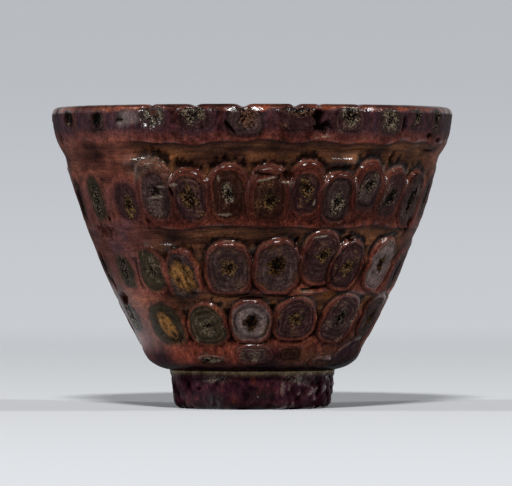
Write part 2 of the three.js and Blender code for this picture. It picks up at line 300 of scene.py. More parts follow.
# Roots of the base whorl: turn in degrees, rise above the foot joint, width and height in mm, and look.
BASE_ROOTS = [
    (-22, 2.2, 6.8, 3.8, CUT._replace(
        face="umber", pith=Pith(4.6, 1.8, 0, 0.4, 0.1, 0.8), proud=0.4, sheath=0.5, bone=0.6
    )),
    (1, 3.6, 8.0, 5.6, CUT._replace(
        face="slate", pith=Pith(1.5, 1.1, 0.2, -1.4, 0, 1.0), sheath=0.6, rings=1.0, gap=0.5
    )),
    (20, 3.8, 6.6, 4.8, CUT._replace(face="umber", pith=BARE, rings=1.4)),
    (41, 2.2, 6.4, 3.4, CUT._replace(face="umber", pith=BARE, sheath=0.9, gap=0.6)),
    (61, 4.2, 11.0, 5.4, CUT._replace(face="foot", pith=BARE, sheath=0.5, proud=0.5, gap=0.8, lean=-24)),
]
# Roots behind in the lip and base whorls: how many, drop or rise, width and height in mm.
LIP_BEHIND = (14, 3.7, 8.4, 6.8)
BASE_BEHIND = (8, 3.8, 6.2, 4.2)
# Turn in degrees of the first of them, and how far round they are spread.
BEHIND_FROM = 88
BEHIND_SPAN = 184


class Mark(NamedTuple):
    """A mark of wear on the wall: turn in degrees, height, sizes and depth in mm, colour and polish."""

    turn: float
    height: float
    across: float
    tall: float
    depth: float
    colour: str
    strength: float
    lean: float = 0.0
    ragged: float = 0.5
    polish: float = 0.0


MARKS = [
    # A pale lilac patch under the rim, partly painted reflection of a flat worn facet.
    Mark(-38.2, 63.0, 7.8, 3.6, 0.4, "lilac", 0.8, -6, 0.7, 0.5),
    Mark(-29.8, 63.4, 6.6, 6.4, 0.9, "slate", 0.0, 0, 0.3, 1.0),
    Mark(-41.0, 62.8, 2.8, 1.2, 1.0, "crevice_and_shade", 1.0),
    Mark(20.2, 61.0, 3.8, 3.6, 1.4, "crevice_and_shade", 1.0, 0, 1.2),
    Mark(18.9, 63.6, 2.4, 3.6, 1.1, "crevice_and_shade", 1.0, 8, 1.2),
    Mark(20.6, 58.9, 4.0, 0.5, -0.15, "bone", 0.6, -4, 1.2),
    Mark(48.7, 61.8, 1.3, 4.2, 0.8, "crevice_and_shade", 1.0, 8),
    Mark(-76.3, 58.7, 1.4, 3.0, 0.6, "crevice_and_shade", 1.0),
    Mark(63, 59.4, 2.4, 1.3, 0.6, "crevice_and_shade", 0.9),
    Mark(70.2, 58.6, 2.0, 1.4, 0.6, "crevice_and_shade", 0.9),
    Mark(67.6, 56.0, 6.0, 0.8, 0.6, "crevice_and_shade", 1.0, 4),
    Mark(-6.4, 61.0, 0.9, 5.0, 0.6, "crevice_and_shade", 1.0, -38, 0.3),
    Mark(48.5, 54.6, 0.8, 2.8, 0.7, "crevice_and_shade", 1.0, 24),
    Mark(10.6, 50.5, 3.2, 2.0, 0.8, "crevice_and_shade", 0.85, 0, 1.0),
    Mark(10.9, 49.3, 3.0, 0.5, -0.15, "bone", 0.85, 0, 1.4, 0.6),
    Mark(3.5, 51.0, 5.0, 0.9, 0.5, "crevice_and_shade", 0.7, 6, 1.0),
    Mark(3.8, 49.9, 4.6, 0.5, -0.15, "bone", 0.8, -12, 1.4, 0.6),
    Mark(-10.4, 50.1, 0.8, 1.6, -0.1, "bone", 0.6, 0, 1.4, 0.4),
    Mark(-8.8, 42.3, 3.2, 0.5, -0.1, "bone", 0.6, 0, 1.6, 0.5),
    Mark(20.6, 45.0, 0.6, 2.0, -0.1, "bone", 0.5, 10, 1.4, 0.5),
    Mark(-25.4, 48.8, 1.6, 0.5, -0.12, "bone", 0.7, 0, 1.6, 0.5),
    Mark(24.2, 37.7, 4.6, 0.5, -0.15, "bone", 0.75, -10, 1.6, 0.6),
    Mark(16.2, 36.2, 1.2, 3.0, 0.7, "crevice_and_shade", 1.0, 20),
    Mark(22.0, 25.9, 5.0, 0.5, -0.15, "bone", 0.6, 4, 1.8, 0.5),
    Mark(-29.8, 48.3, 3.0, 0.5, -0.15, "bone", 0.5, 3, 1.2, 0.4),
    Mark(-32.6, 46.0, 4.6, 0.5, -0.15, "bone", 0.5, -6, 1.2, 0.4),
    Mark(-26.6, 47.2, 0.9, 3.6, 0.5, "crevice_and_shade", 0.9, -6, 1.2),
    Mark(-37.8, 41.0, 0.9, 1.4, 0.6, "crevice_and_shade", 0.9),
    Mark(-57, 41.4, 1.6, 1.2, 0.5, "crevice_and_shade", 0.9),
    Mark(-62.7, 38.8, 7.0, 3.4, 0.3, "crevice_and_shade", 0.5, 0, 2.2),
    Mark(69.0, 40.0, 2.2, 4.0, 0.9, "crevice_and_shade", 1.0, 24),
    Mark(37, 36.9, 3.4, 0.7, 0.6, "crevice_and_shade", 1.0, 6),
    Mark(-76.4, 32.5, 1.6, 4.4, 0.5, "crevice_and_shade", 1.0, -10),
    Mark(-74.4, 27.3, 1.4, 3.6, 0.5, "crevice_and_shade", 1.0, -12),
    Mark(-70, 24.0, 5.0, 4.0, 0.4, "crevice_and_shade", 0.7, 0, 2.2),
    Mark(-0.1, 24.2, 6.0, 0.7, 0.5, "crevice_and_shade", 1.0, 0, 0.4),
    Mark(24.5, 26.4, 6.0, 0.8, 0.6, "crevice_and_shade", 1.0, -4),
    Mark(34.0, 25.2, 4.0, 2.0, 0.3, "amber", 0.6, 0, 1.0),
]


class Ledge(NamedTuple):
    """A ledge on the wall: turn in degrees, top height, width, flat side, rise and fall in mm, and lean."""

    turn: float
    height: float
    across: float
    flat: float
    rise: float
    fall: float
    lean: float = 0.0


LEDGES = [
    Ledge(-36.0, 55.1, 11.0, 1.5, 1.5, 3.0, -2),
    Ledge(29.0, 55.1, 11.0, 1.6, 1.3, 2.4),
    Ledge(-34.5, 36.6, 9.0, 1.2, 1.4, 2.4, 5),
]


def smooth(value, low, high):
    """Smooth step from 0 at low to 1 at high: 3t^2 - 2t^3 of the share t between them."""
    t = np.clip((value - low) / (high - low), 0, 1)
    return t * t * (3 - 2 * t)


def bell(value, middle, width):
    """Bell of height 1: exp(-((value - middle) / width)^2)."""
    return np.exp(-(((value - middle) / width) ** 2))


def blend(a, b, share):
    """Straight mix of two colours, or two arrays of colours, by a share per point."""
    share = np.clip(share, 0, 1)[..., None]
    return np.asarray(a) * (1 - share) + np.asarray(b) * share


def grains(points, size, seed):
    """Value noise from -1 to 1: random values on a lattice of the given size in mm, smoothly blended."""
    place = points / size + seed * 7.31
    cell = np.floor(place)
    share = place - cell
    share = share * share * (3 - 2 * share)
    total = np.zeros(place.shape[:-1])
    for corner in np.ndindex(2, 2, 2):
        spun = np.sin((cell + corner) @ np.array([12.9898, 78.233, 37.719])) * 43758.5453
        weight = np.prod(np.where(corner, share, 1 - share), axis=-1)
        total += ((spun - np.floor(spun)) * 2 - 1) * weight
    return total


def wrapped(angle):
    """An angle in radians brought between -pi and pi."""
    return (angle + np.pi) % (2 * np.pi) - np.pi


def turned(x, y, degrees):
    """Coordinates seen from axes that lean to the right by some degrees."""
    lean = math.radians(degrees)
    return x * math.cos(lean) - y * math.sin(lean), x * math.sin(lean) + y * math.cos(lean)


def bezier(start, through, end, steps):
    """Points of a quadratic curve: (1-t)^2 start + 2t(1-t) through + t^2 end."""
    t = np.linspace(0, 1, steps)[:, None]
    return (1 - t) ** 2 * np.array(start) + 2 * t * (1 - t) * np.array(through) + t**2 * np.array(end)


def bulged(start, end, bulge, steps):
    """A quadratic curve between two points that stands out from their chord by the bulge."""
    along = np.subtract(end, start) / np.linalg.norm(np.subtract(end, start))
    out = np.array([along[1], -along[0]])
    return bezier(start, np.add(start, end) / 2 + 2 * bulge * out, end, steps)


# Radius in mm at which a turned section stops short of the axis and a pole closes it.
POLE_RADIUS = 0.4
# Rounding in mm where the inside meets the floor, and of the rim's inner edge.
FLOOR_ROUND = 5.0
RIM_INNER_ROUND = 0.8
# How far the flat worn on the rim's outer edge looks upward.
RIM_FACET = math.radians(20)
# Points on the rim's outer round, and those at its top where the height hardly grows.
RIM_STEPS = 40
LEVEL_STEPS = 6


def outside_curves(size):
    """Curves of the outside in mm from the foot joint up: heel, belly, lip band and the rim's outer round."""
    top = size["height"]
    joint = (size["foot_radius"], size["foot_height"])
    heel = (size["heel"], size["foot_height"] + size["heel_rise"])
    waist = (size["waist"], top - size["lip_band"])
    crest = (size["mouth"], top - size["lip_round"])
    edge = (size["mouth"] - size["lip_round"], top)
    under = (heel[0] - size["heel_undercut"], joint[1] + size["heel_undercut"])
    return [
        bezier(joint, under, heel, 60),
        bulged(heel, waist, size["belly_bulge"], 300),
        bulged(waist, crest, size["lip_swell"], 80),
        bezier(crest, (crest[0], top), edge, RIM_STEPS),
    ]


def inside_line(size, outer):
    """Points of the inside in mm: the outside less a wall that thickens downward, round corner, floor."""
    top, floor = size["height"], size["floor"]
    heights = np.linspace(top, floor, 200)
    share = (top - heights) / (top - floor)
    thick = size["rim_wall"] + (size["base_wall"] - size["rim_wall"]) * share
    below_rim = outer[:-RIM_STEPS]
    radius = np.interp(heights, below_rim[:, 1], below_rim[:, 0]) - thick
    wall = np.column_stack([radius, heights])[heights > floor + FLOOR_ROUND]
    wall[:, 0] += RIM_INNER_ROUND * np.exp(-((top - wall[:, 1]) / 0.5))
    floor_edge = (radius[-1] - FLOOR_ROUND, floor)
    corner = bezier(wall[-1], (radius[-1], floor), floor_edge, 40)
    middle = np.linspace(floor_edge, (POLE_RADIUS, floor), 40)
    return np.vstack([wall, corner[1:], middle[1:]])


class Wall:
    """The bowl's smooth section in mm, as radius and height along its run from the foot joint."""

    def __init__(self, shape):
        size = {key: getattr(shape, key) / MM for key in CupShape.__annotations__ if key != "columns"}
        curves = outside_curves(size)
        outer = np.vstack(curves)
        joint = outer[0]
        underside = np.linspace((POLE_RADIUS, joint[1]), joint, 20)
        section = np.vstack([underside[:-1], outer, inside_line(size, outer)])
        apart = np.linalg.norm(np.diff(section, axis=0), axis=1) > 1e-6
        section = section[np.r_[True, apart]]
        run = np.r_[0, np.cumsum(np.linalg.norm(np.diff(section, axis=0), axis=1))]
        start = np.argmin(np.hypot(section[:, 0] - joint[0], section[:, 1] - joint[1]))
        last = start + len(outer) - len(curves)
        rising = slice(start, last - LEVEL_STEPS)
        self.size = size
        self.section = section
        self.run = run - run[start]
        self.rim_run = np.interp(size["height"] - 0.02, section[start:last, 1], self.run[start:last])
        self.height_run = (section[rising, 1], self.run[rising])
        tangent = np.gradient(section, self.run, axis=0)
        tangent /= np.linalg.norm(tangent, axis=1)[:, None]
        self.normal = np.column_stack([tangent[:, 1], -tangent[:, 0]])
        self.chamfer = self.rim_flat()

    def rim_flat(self):
        """Lift in mm of the flat worn on the rim, which is below zero: its slope against the wall, summed."""
        elevation = np.arctan2(self.normal[:, 1], self.normal[:, 0])
        to_rim = self.run - self.rim_run
        flat = smooth(to_rim, -2.4, -2.1) * smooth(to_rim, -1.1, -1.3)
        dip = -np.tan(np.where(flat > 0, RIM_FACET - elevation, 0)) * flat
        return np.r_[0, np.cumsum((dip[1:] + dip[:-1]) / 2 * np.diff(self.run))]

    def run_at(self, height):
        """Run along the outside at which it reaches a height."""
        return np.interp(height, *self.height_run)

    def radius(self, run):
        """Radius of the smooth section at a run."""
        return np.interp(run, self.run, self.section[:, 0])

    def height(self, run):
        """Height of the smooth section at a run."""
        return np.interp(run, self.run, self.section[:, 1])

    def place(self, turn, run, lift):
        """Points at a turn and a run, lifted along the section's normal; turn 0 faces -Y."""
        radius = self.radius(run) + lift * np.interp(run, self.run, self.normal[:, 0])
        height = self.height(run) + lift * np.interp(run, self.run, self.normal[:, 1])
        return np.stack([radius * np.sin(turn), -radius * np.cos(turn), height], axis=-1)


class Line(NamedTuple):
    """Lower line of a whorl: height and phase, the whorl below, the dirt and painted shade above that,
    and where it hangs.
    """

    height: float
    phase: float
    below: str
    dirt_and_shade: float
    hangs: tuple = ()


LIP_LINE = Line(58.2, 1.0, "upper", 2.0, tuple(row[0] for row in LIP_ROOTS))
LINES = (LIP_LINE, Line(39.7, 2.0, "middle", 1.4), Line(25.4, 3.0, "lower", 0.7))
# Depth of the coves in mm.
COVE_DEPTH = 1.0
# How black the painted shade in the pinched corners between neighbours of a whorl is.
PINCH_SHADE = {"middle": 0.8, "lower": 1.0}
# How high a whorl's belt reaches between its roots, as a share of a root's half height.
VALLEY = {"upper": 0.62, "middle": 0.3, "lower": 0.3}


def line_height(turn, line):
    """Height of a whorl's lower line round the cup: level with slow waves, hanging under the roots named."""
    wave = 0.3 * np.sin(7 * turn + line.phase) + 0.18 * np.sin(13 * turn + 2.1 * line.phase)
    sag = sum(bell(wrapped(turn - math.radians(degrees)), 0, 0.075) for degrees in line.hangs)
    return line.height + wave + 0.1 * np.sin(23 * turn + line.phase) - 0.6 * sag


def worn(turn):
    """Share of hand wear: 1 on the polished left side, some on the right flank, none in front and behind."""
    degrees = np.degrees(wrapped(turn))
    left = smooth(degrees, -30, -46) * smooth(degrees, -140, -110)
    right = smooth(degrees, 62, 80) * smooth(degrees, 130, 105)
    return left + 0.75 * right


class Cup:
    """What the surfaces are worked out from: wall, colours, every root, and where belts dip between roots."""

    def __init__(self, scene):
        self.wall = Wall(scene.cup_shape)
        colours = {key: np.array(getattr(scene.cup_finish, key)) for key in CupFinish.__annotations__}
        self.finish = SimpleNamespace(**colours)
        self.roots = all_roots(self.wall)
        self.valleys = {}
        for whorl, share in VALLEY.items():
            members = sorted((root for root in self.roots if root.whorl == whorl), key=lambda root: root.turn)
            turns = [root.turn for root in members]
            self.valleys[whorl] = (turns, [root.run + share * root.tall for root in members])


class Spots(NamedTuple):
    """Points of the outside: where they are on the wall, their wear, and the noises that vary them."""

    turn: np.ndarray
    run: np.ndarray
    radius: np.ndarray
    height: np.ndarray
    hand: np.ndarray
    mottle: np.ndarray
    wobble: np.ndarray
    speckle: np.ndarray
    fibre: np.ndarray
    sweep: np.ndarray
    aside: np.ndarray
    above: np.ndarray


def spots_at(turn, run, wall):
    """Points of the outside with their wear and noises; features run from half a millimetre to six."""
    points = wall.place(turn, run, 0 * run)
    return Spots(
        turn, run, wall.radius(run), wall.height(run), worn(turn),
        mottle=grains(points, 6.0, 3) + 0.6 * grains(points, 2.4, 4),
        wobble=grains(points, 1.6, 50),
        speckle=grains(points, 0.9, 6) + 0.7 * grains(points, 0.45, 7),
        fibre=grains(points * [1, 1, 0.12], 0.9, 5),
        sweep=grains(points * [0.12, 0.12, 1], 1.5, 70) + 0.7 * grains(points * [0.2, 0.2, 1], 0.8, 71),
        aside=0.3 * grains(points, 3.0, 8) + 0.12 * grains(points, 1.1, 9),
        above=0.3 * grains(points, 3.0, 18) + 0.12 * grains(points, 1.1, 19),
    )


class Fit(NamedTuple):
    """Points near a root: list places, mm aside and above, share of its size, mm within its outline."""

    near: np.ndarray
    x: np.ndarray
    y: np.ndarray
    share: np.ndarray
    within: np.ndarray


def around(spots, turn, run, reach, lean):
    """Points within a reach in mm of a place on the wall: list places, and mm aside and above it."""
    across = wrapped(spots.turn - turn) * spots.radius
    along = spots.run - run
    near = np.flatnonzero((np.abs(across) < reach) & (np.abs(along) < reach))
    x, y = turned(across[near], along[near], lean)
    return near, x, y


def fitted(root, spots):
    """Fits points to a root's outline, a superellipse a little squarer below its middle, shaken by noise."""
    reach = max(root.wide, root.tall) + 3
    near, x, y = around(spots, root.turn, root.run, reach, root.look.lean)
    x, y = x + spots.aside[near], y + spots.above[near]
    power = np.where(y > 0, root.look.square, root.look.square + 0.4)
    share = ((np.abs(x) / root.wide) ** power + (np.abs(y) / root.tall) ** power) ** (1 / power)
    share = np.maximum(share, 1e-3)
    return Fit(near, x, y, share, np.hypot(x, y) * (1 / share - 1))


def ripple(spots):
    """Unevenness of the wall in mm: slow swells of 0.1 and finer ones of 0.05 that wear has halved."""
    return 0.1 * spots.mottle + 0.05 * spots.wobble * (1 - 0.5 * spots.hand)


def add_cove(skin, line, spots, edge, second, cup):
    """Lays the cove between a whorl's lower line and the roots below.

    A ridge and a dark line follow the line, and the wall slopes in below them. Dirt and painted shade darken
    the wall along the roots, and rough amber wood fills the corners between two of them.
    """
    finish, hand, mottle, speckle = cup.finish, spots.hand, spots.mottle, spots.speckle
    stain, lift, polish = skin["stain"], skin["lift"], skin["polish"]
    drop = cup.wall.run_at(line_height(spots.turn, line)) - spots.run
    valley = np.interp(spots.turn, *cup.valleys[line.below], period=2 * np.pi)
    shore = np.minimum(-edge, spots.run - valley)
    off_roots = smooth(shore, -0.6, 0.2)
    cove = smooth(drop, -0.05, 0.4) * smooth(shore, -1.3 - 0.4 * hand, 0.3 + 0.5 * hand)
    deep = cove * (1 - 0.75 * hand) * off_roots
    warm = np.clip(0.4 + 0.4 * mottle + 0.4 * spots.sweep, 0, 1) * smooth(drop, 0.5, 1.6)
    stain = blend(stain, blend(finish.cove, finish.amber, warm), 0.95 * deep)
    between = smooth(second, -2.6, -1.2)
    # Dirt and painted shade: a speckled dark band in the cove along the tops of the roots below.
    dirt_and_shade = smooth(line.dirt_and_shade + 1.3 * speckle + mottle - shore, 0.0, 1.0) * smooth(shore, -0.4, 0.1)
    dirt_and_shade = dirt_and_shade * (1 - 0.75 * between)
    lift = lift + 0.14 * speckle * between * deep
    polish = polish + 0.8 * between * deep * smooth(speckle, 0.0, 0.7)
    rough = finish.amber * np.clip(1 + 0.8 * speckle, 0.2, 1.6)[:, None]
    stain = blend(stain, rough, 0.45 * between * deep)
    streaks = 0.5 * smooth(spots.sweep - 0.3 * mottle, 0.2, 0.9)
    stain = blend(stain, finish.crevice_and_shade, deep * np.maximum(0.95 * dirt_and_shade, streaks))
    clear = smooth(shore, 0.1, 0.8) * (1 - 0.8 * hand)
    stain = blend(stain, 1.15 * finish.sheath, 0.8 * bell(drop, -0.3, 0.3) * clear)
    # A dark line just under the ridge, along the whorl's line.
    dark_line = np.clip(0.75 + 0.5 * spots.wobble, 0, 1) * bell(drop, 0.2, 0.15) * clear
    skin["stain"] = blend(stain, finish.crevice_and_shade, dark_line)
    slope = 0.2 + 0.8 * smooth(drop, 0.2, 3.2)
    ridge = 0.16 * bell(drop, -0.4, 0.4) * clear
    skin["lift"] = lift - COVE_DEPTH * slope * (1 - 0.8 * hand) * cove + ridge
    shine = 0.7 * bell(drop, -0.35, 0.35) * clear * smooth(spots.wobble, -0.3, 0.6)
    skin["polish"] = polish + shine
    skin["swept"] = np.maximum(skin["swept"], cove * off_roots)


def add_lip(skin, spots, cup):
    """Lays the lip band, dark and streaked and darker on the right, and the rim with its flat and a painted
    shade along its top edge.
    """
    finish, wall, mottle = cup.finish, cup.wall, spots.mottle
    over = spots.height - line_height(spots.turn, LIP_LINE)
    # Painted light: the plum comes in slowly above the lower line, which leaves a paler strip where the band
    # bulges out.
    band = 0.35 * smooth(over, 0.1, 0.9) + 0.65 * smooth(over, 1.2, 3.0)
    stain = skin["stain"]
    stain = blend(stain, finish.lip, band * np.clip(0.95 + 0.3 * mottle + 0.6 * spots.fibre, 0, 1))
    streaks = smooth(spots.fibre + 0.5 * mottle, 0.0, 0.8)
    right = smooth(np.degrees(spots.turn), 12, 32)
    stain = blend(stain, finish.crevice_and_shade, band * (0.4 * streaks + 0.2 * right))
    rim = smooth(spots.run + 0.6 * spots.wobble, wall.rim_run - 2.3, wall.rim_run - 1.3)
    stain = blend(stain, finish.rim, rim * np.clip(0.8 + 0.5 * mottle, 0, 1))
    to_rim = spots.run - wall.rim_run
    gloss = smooth(to_rim, -2.3, -1.9) * np.clip(1.0 + mottle + 0.5 * spots.wobble, 0.1, 1)
    # Painted shade: the rim darkens along its top edge.
    rim_top_shade = 0.5 * smooth(to_rim, -1.2, -0.7) * smooth(to_rim, 0.8, 0.2)
    skin["polish"] = skin["polish"] + gloss
    skin["lift"] = skin["lift"] + np.interp(spots.run, wall.run, wall.chamfer)
    skin["stain"] = blend(stain, finish.crevice_and_shade, rim_top_shade)


def add_heel(skin, spots, finish):
    """Lays the heel: dark as the foot, partly painted shade under the belly, red on the front's left, tan on
    its right, darker further right, and black at the joint as painted shadow.
    """
    height, degrees = spots.height, np.degrees(spots.turn)
    # The low heel takes the foot's dark colour except where it is red or tan: partly painted shade under the
    # belly.
    glow = smooth(degrees, -58, -40) * smooth(degrees, 5, -12) * smooth(height, 9.0, 10.6)
    tan = smooth(degrees, 8, 24) * smooth(degrees, 58, 44) * smooth(height, 9.0, 10.6)
    base = blend(blend(finish.foot, finish.heel, glow + 0.3 * spots.mottle), finish.amber, 0.5 * tan)
    stain = blend(skin["stain"], base, 1 - smooth(height, 11.5, 15.5))
    stain = blend(stain, finish.crevice_and_shade, 0.55 * smooth(degrees, 36, 60) * smooth(height, 18, 12))
    # Painted shadow: nearly black where the heel meets the foot.
    skin["stain"] = blend(stain, finish.crevice_and_shade, 0.75 * smooth(height, 10.6, 8.9))


def stem_skin(spots, edges, seconds, cup):
    """The wall before its roots: oiled stem, paler where the hand wore it, with its coves, lip and heel."""
    finish, hand, mottle, speckle = cup.finish, spots.hand, spots.mottle, spots.speckle
    degrees = np.degrees(spots.turn)
    stain = blend(finish.stem, finish.stem_worn, 0.85 * hand + 0.3 * mottle)
    stain = blend(stain, finish.amber, np.clip(0.3 * speckle + 0.25 * mottle, 0, 1) * (1 - 0.6 * hand))
    flank = smooth(degrees, -40, -60) * smooth(spots.height, 34, 16) * smooth(spots.height, 11, 16)
    polish = 0.02 + 0.08 * np.clip(np.cos(spots.turn), 0, 1) ** 2 + (0.04 + 0.7 * flank) * hand
    polish = polish + 0.06 * smooth(degrees, 25, 55)
    skin = {"lift": ripple(spots), "stain": stain, "polish": polish, "swept": np.zeros_like(polish)}
    for line in LINES:
        add_cove(skin, line, spots, edges[line.below], seconds[line.below], cup)
    shaded = hand * smooth(spots.height, 52, 46) * smooth(spots.height, 26, 32)
    skin["stain"] = blend(skin["stain"], finish.lip, shaded * np.clip(0.45 + 0.5 * mottle, 0, 0.85))
    add_lip(skin, spots, cup)
    add_heel(skin, spots, finish)
    swept = skin["swept"]
    tone = 1 + 0.3 * spots.fibre * (1 - swept) + 0.42 * mottle
    tone = tone + 0.4 * speckle * (1 - 0.5 * hand) * (1 - 0.6 * swept) + 0.35 * spots.sweep * swept
    skin["stain"] = skin["stain"] * np.clip(tone, 0.15, 2.2)[..., None]
    skin["dull"] = 0.25 * np.clip(-skin["lift"], 0, 1)
    skin["crumb"] = np.broadcast_to(finish.pale, stain.shape).copy()
    skin["crumbs"] = np.zeros_like(polish)
    return skin


def pith_shares(pith, x, y, speckle, seed):
    """Shares of pith and of its black parts: a ragged ellipse with a core and cracks that spread from it."""
    right, up = turned(x - pith.right, y - pith.up, pith.lean)
    angle = np.arctan2(up, right)
    away = np.hypot(2 * right / pith.across, 2 * up / pith.tall)
    star = grains(np.stack([np.cos(angle), np.sin(angle), 0.25 * away], axis=-1), 0.42, seed)
    share = 1 - smooth(away * (1 + 0.3 * star + 0.18 * speckle), 0.65, 1.15)
    core = 1 - smooth(away * (1 + 0.5 * star) + 0.1 * speckle, 0.6 * pith.core, 1.3 * pith.core + 0.01)
    cracks = smooth(star + 0.3 * speckle, 0.2, 0.6)
    streak = grains(np.stack([right, 0.3 * up, 0 * up], axis=-1), 0.6, seed + 1)
    shore = bell(away + 0.15 * speckle, 1.0, 0.2) * (pith.ground == "ochre")
    return share, np.maximum(np.maximum(core, 0.8 * cracks) * (pith.core > 0), 0.9 * shore), streak


def add_root(skin, root, fit, spots, cup):
    """Lays a root end on the wall.

    From its outline inward come a dark joint, a raised sheath that is thickest on top and streaked along
    the outline, with painted light that makes it paler on top and near its outer edge and a painted highlight
    line along that edge, a dished face with rings, and rough pith.
    """
    finish, look, near = cup.finish, root.look, fit.near
    wobble, speckle, mottle = spots.wobble[near], spots.speckle[near], spots.mottle[near]
    within = fit.within
    inside = smooth(within, -0.1, 0.1)
    top = np.clip(fit.y / root.tall / np.maximum(fit.share, 0.3), 0, 1)
    bead = look.thick * (1 + 0.3 * wobble) + look.crown * top**1.5
    face = inside * smooth(within, bead - look.soft, bead + look.soft)
    collar = inside - face
    # Painted shade: the sheath's colour is weaker towards its lower half.
    strength = np.clip(look.sheath * (0.65 + 0.35 * top) * (1 + 0.4 * wobble), 0, 1)
    stain, lift = skin["stain"][near], skin["lift"][near]

    streak = np.sin(2 * np.pi * (within + 0.35 * wobble) / 0.6)
    # Painted light: the sheath is paler on top and along a line near its outer edge, darker at its sides and
    # bottom.
    painted_sheath_light = 0.45 + 0.3 * smooth(top, 0.1, 0.9) + 0.55 * bell(within, 0.22, 0.18) + 0.2 * speckle + 0.2 * streak
    painted_sheath_light = np.clip(painted_sheath_light, 0.1, 2)
    stain = blend(stain, finish.sheath * painted_sheath_light[:, None], collar * strength)
    chipped = np.clip(0.35 + 0.6 * streak + 0.5 * speckle, 0, 1) * look.bone * smooth(top, 0.2, 0.8)
    stain = blend(stain, finish.bone, collar * chipped)
    lined = smooth(within, -1.8, -0.4) * (1 - face) * smooth(streak + 0.5 * speckle, 0.0, 0.9)
    stain = blend(stain, finish.crevice_and_shade, 0.65 * look.sheath * lined)
    rings = np.sin(2 * np.pi * (within + 0.4 * wobble) / 1.2)
    tone = np.clip(1 + 0.25 * speckle + 0.3 * wobble + 0.2 * mottle + 0.15 * look.rings * rings, 0.1, 2.4)
    edge = bell(within, bead, 0.9)
    colour = np.asarray(getattr(finish, look.face)) * tone[:, None]
    colour = blend(colour, finish.sheath, 0.35 * look.sheath * edge * np.clip(0.6 + rings, 0, 1))
    fine = smooth(rings, 0.8, 1.0) * np.clip(0.1 + 0.8 * mottle + 0.5 * speckle, 0, 1) * min(look.rings, 1)
    colour = blend(colour, finish.bone, 0.45 * fine)
    stain = blend(stain, colour, face)
    crisp = np.clip(0.5 + 0.9 * wobble, 0, 1) * inside
    inner_line = (0.2 + 0.5 * top) * look.sheath * crisp * bell(within, bead, 0.16)
    stain = blend(stain, 1.5 * finish.sheath, inner_line)
    stain = blend(stain, finish.crevice_and_shade, 0.7 * crisp * bell(within, bead + 0.45, 0.22))
    # Painted highlight: a pale pink line along the sheath's outer edge, strongest on top.
    stain = blend(stain, 1.2 * finish.blush_and_highlight, 0.6 * top * look.sheath * crisp * bell(within, 0.2, 0.15))
    dark = bell(fit.share, look.dark_ring, 0.06) * (look.dark_ring > 0) * np.clip(0.8 + 0.5 * wobble, 0, 1)
    joint = bell(within, -0.08, 0.22) * look.gap * (1 - 0.3 * top)
    stain = blend(stain, finish.crevice_and_shade, np.maximum(0.8 * dark, 0.95 * joint))

    pith, core, strand = pith_shares(look.pith, fit.x, fit.y, speckle, root.seed)
    pith = pith * face
    ground = colour if look.pith.ground == "face" else np.asarray(getattr(finish, look.pith.ground))
    ground = ground * np.clip(0.85 + 1.1 * strand + 0.7 * speckle, 0.05, 2.2)[:, None]
    stain = blend(stain, blend(ground, finish.crevice_and_shade, core), pith)

    lift = lift + look.proud * (0.06 + 0.34 * top) * smooth(within, -0.1, 1.0)
    lift = lift + 0.2 * strength * bell(within, 0.45, 0.4) - 0.26 * face * min(look.proud, 1)
    grain = 0.025 * look.rings * rings + 0.05 * wobble + 0.03 * speckle
    lift = lift + face * grain + 0.03 * collar * streak
    lift = lift - 0.5 * joint - 0.1 * dark - pith * (0.12 + 0.45 * core - 0.16 * speckle)
    crest = bell(within, 0.3, 0.5) * smooth(top, 0.1, 0.6) * min(1.2 * look.sheath, 1)
    crest = crest * np.clip(0.9 + 0.6 * wobble, 0, 1)
    skin["lift"][near] = lift
    skin["stain"][near] = stain
    skin["polish"][near] = np.clip(skin["polish"][near] * (1 - 0.3 * face) + crest, 0, 1)
    skin["dull"][near] = np.maximum(skin["dull"][near] * (1 - face), 0.7 * pith)
    skin["crumb"][near] = blend(skin["crumb"][near], getattr(finish, look.pith.crumb), inside)
    specks = 0.2 * face * smooth(wobble, 0.1, 0.7)
    crumbs = np.maximum(pith * look.pith.crumbs * (1 - 0.85 * core), specks)
    skin["crumbs"][near] = np.maximum(skin["crumbs"][near] * (1 - inside), crumbs)
    skin["swept"][near] *= 1 - inside


def add_mark(skin, mark, spots, cup):
    """Lays a mark on the wall: a ragged ellipse that sinks or swells and takes its own colour and polish."""
    run = cup.wall.run_at(mark.height)
    reach = max(mark.across, mark.tall)
    near, x, y = around(spots, math.radians(mark.turn), run, reach, mark.lean)
    share = np.hypot(2 * x / mark.across, 2 * y / mark.tall) + 0.3 * mark.ragged * spots.speckle[near]
    inside = 1 - smooth(share, 0.6, 1.15)
    skin["lift"][near] -= mark.depth * inside
    skin["stain"][near] = blend(skin["stain"][near], getattr(cup.finish, mark.colour), mark.strength * inside)
    skin["polish"][near] += (mark.polish - skin["polish"][near]) * inside
    skin["crumbs"][near] *= 1 - mark.strength * inside


def add_ledge(skin, ledge, spots, cup):
    """Lays a ledge on the wall: it rises evenly down its flat upper side and fades out below."""
    run = cup.wall.run_at(ledge.height)
    reach = ledge.across + ledge.fall
    near, x, y = around(spots, math.radians(ledge.turn), run, reach, ledge.lean)
    down = -y - 0.06 * spots.wobble[near]
    side = 1 - smooth(np.abs(2 * x / ledge.across) + 0.2 * spots.mottle[near], 0.5, 1.1)
    swell = np.clip(down / ledge.flat, 0, 1) * smooth(down, ledge.flat + ledge.fall, ledge.flat) * side
    shine = smooth(down, -0.2, 0.1) * smooth(down, ledge.flat + 0.3, ledge.flat - 0.1) * side
    skin["lift"][near] += ledge.rise * swell - 0.9 * side * ripple(spots)[near]
    skin["polish"][near] = np.maximum(skin["polish"][near], shine)


# Distance within a root, in mm, that points far from every root are given.
FAR = -9.0
# Oil deepens the wood: stains darker than the pivot, a linear level, sink, and paler ones glow.
OIL_PIVOT = 0.045
OIL_DEPTH = 0.2


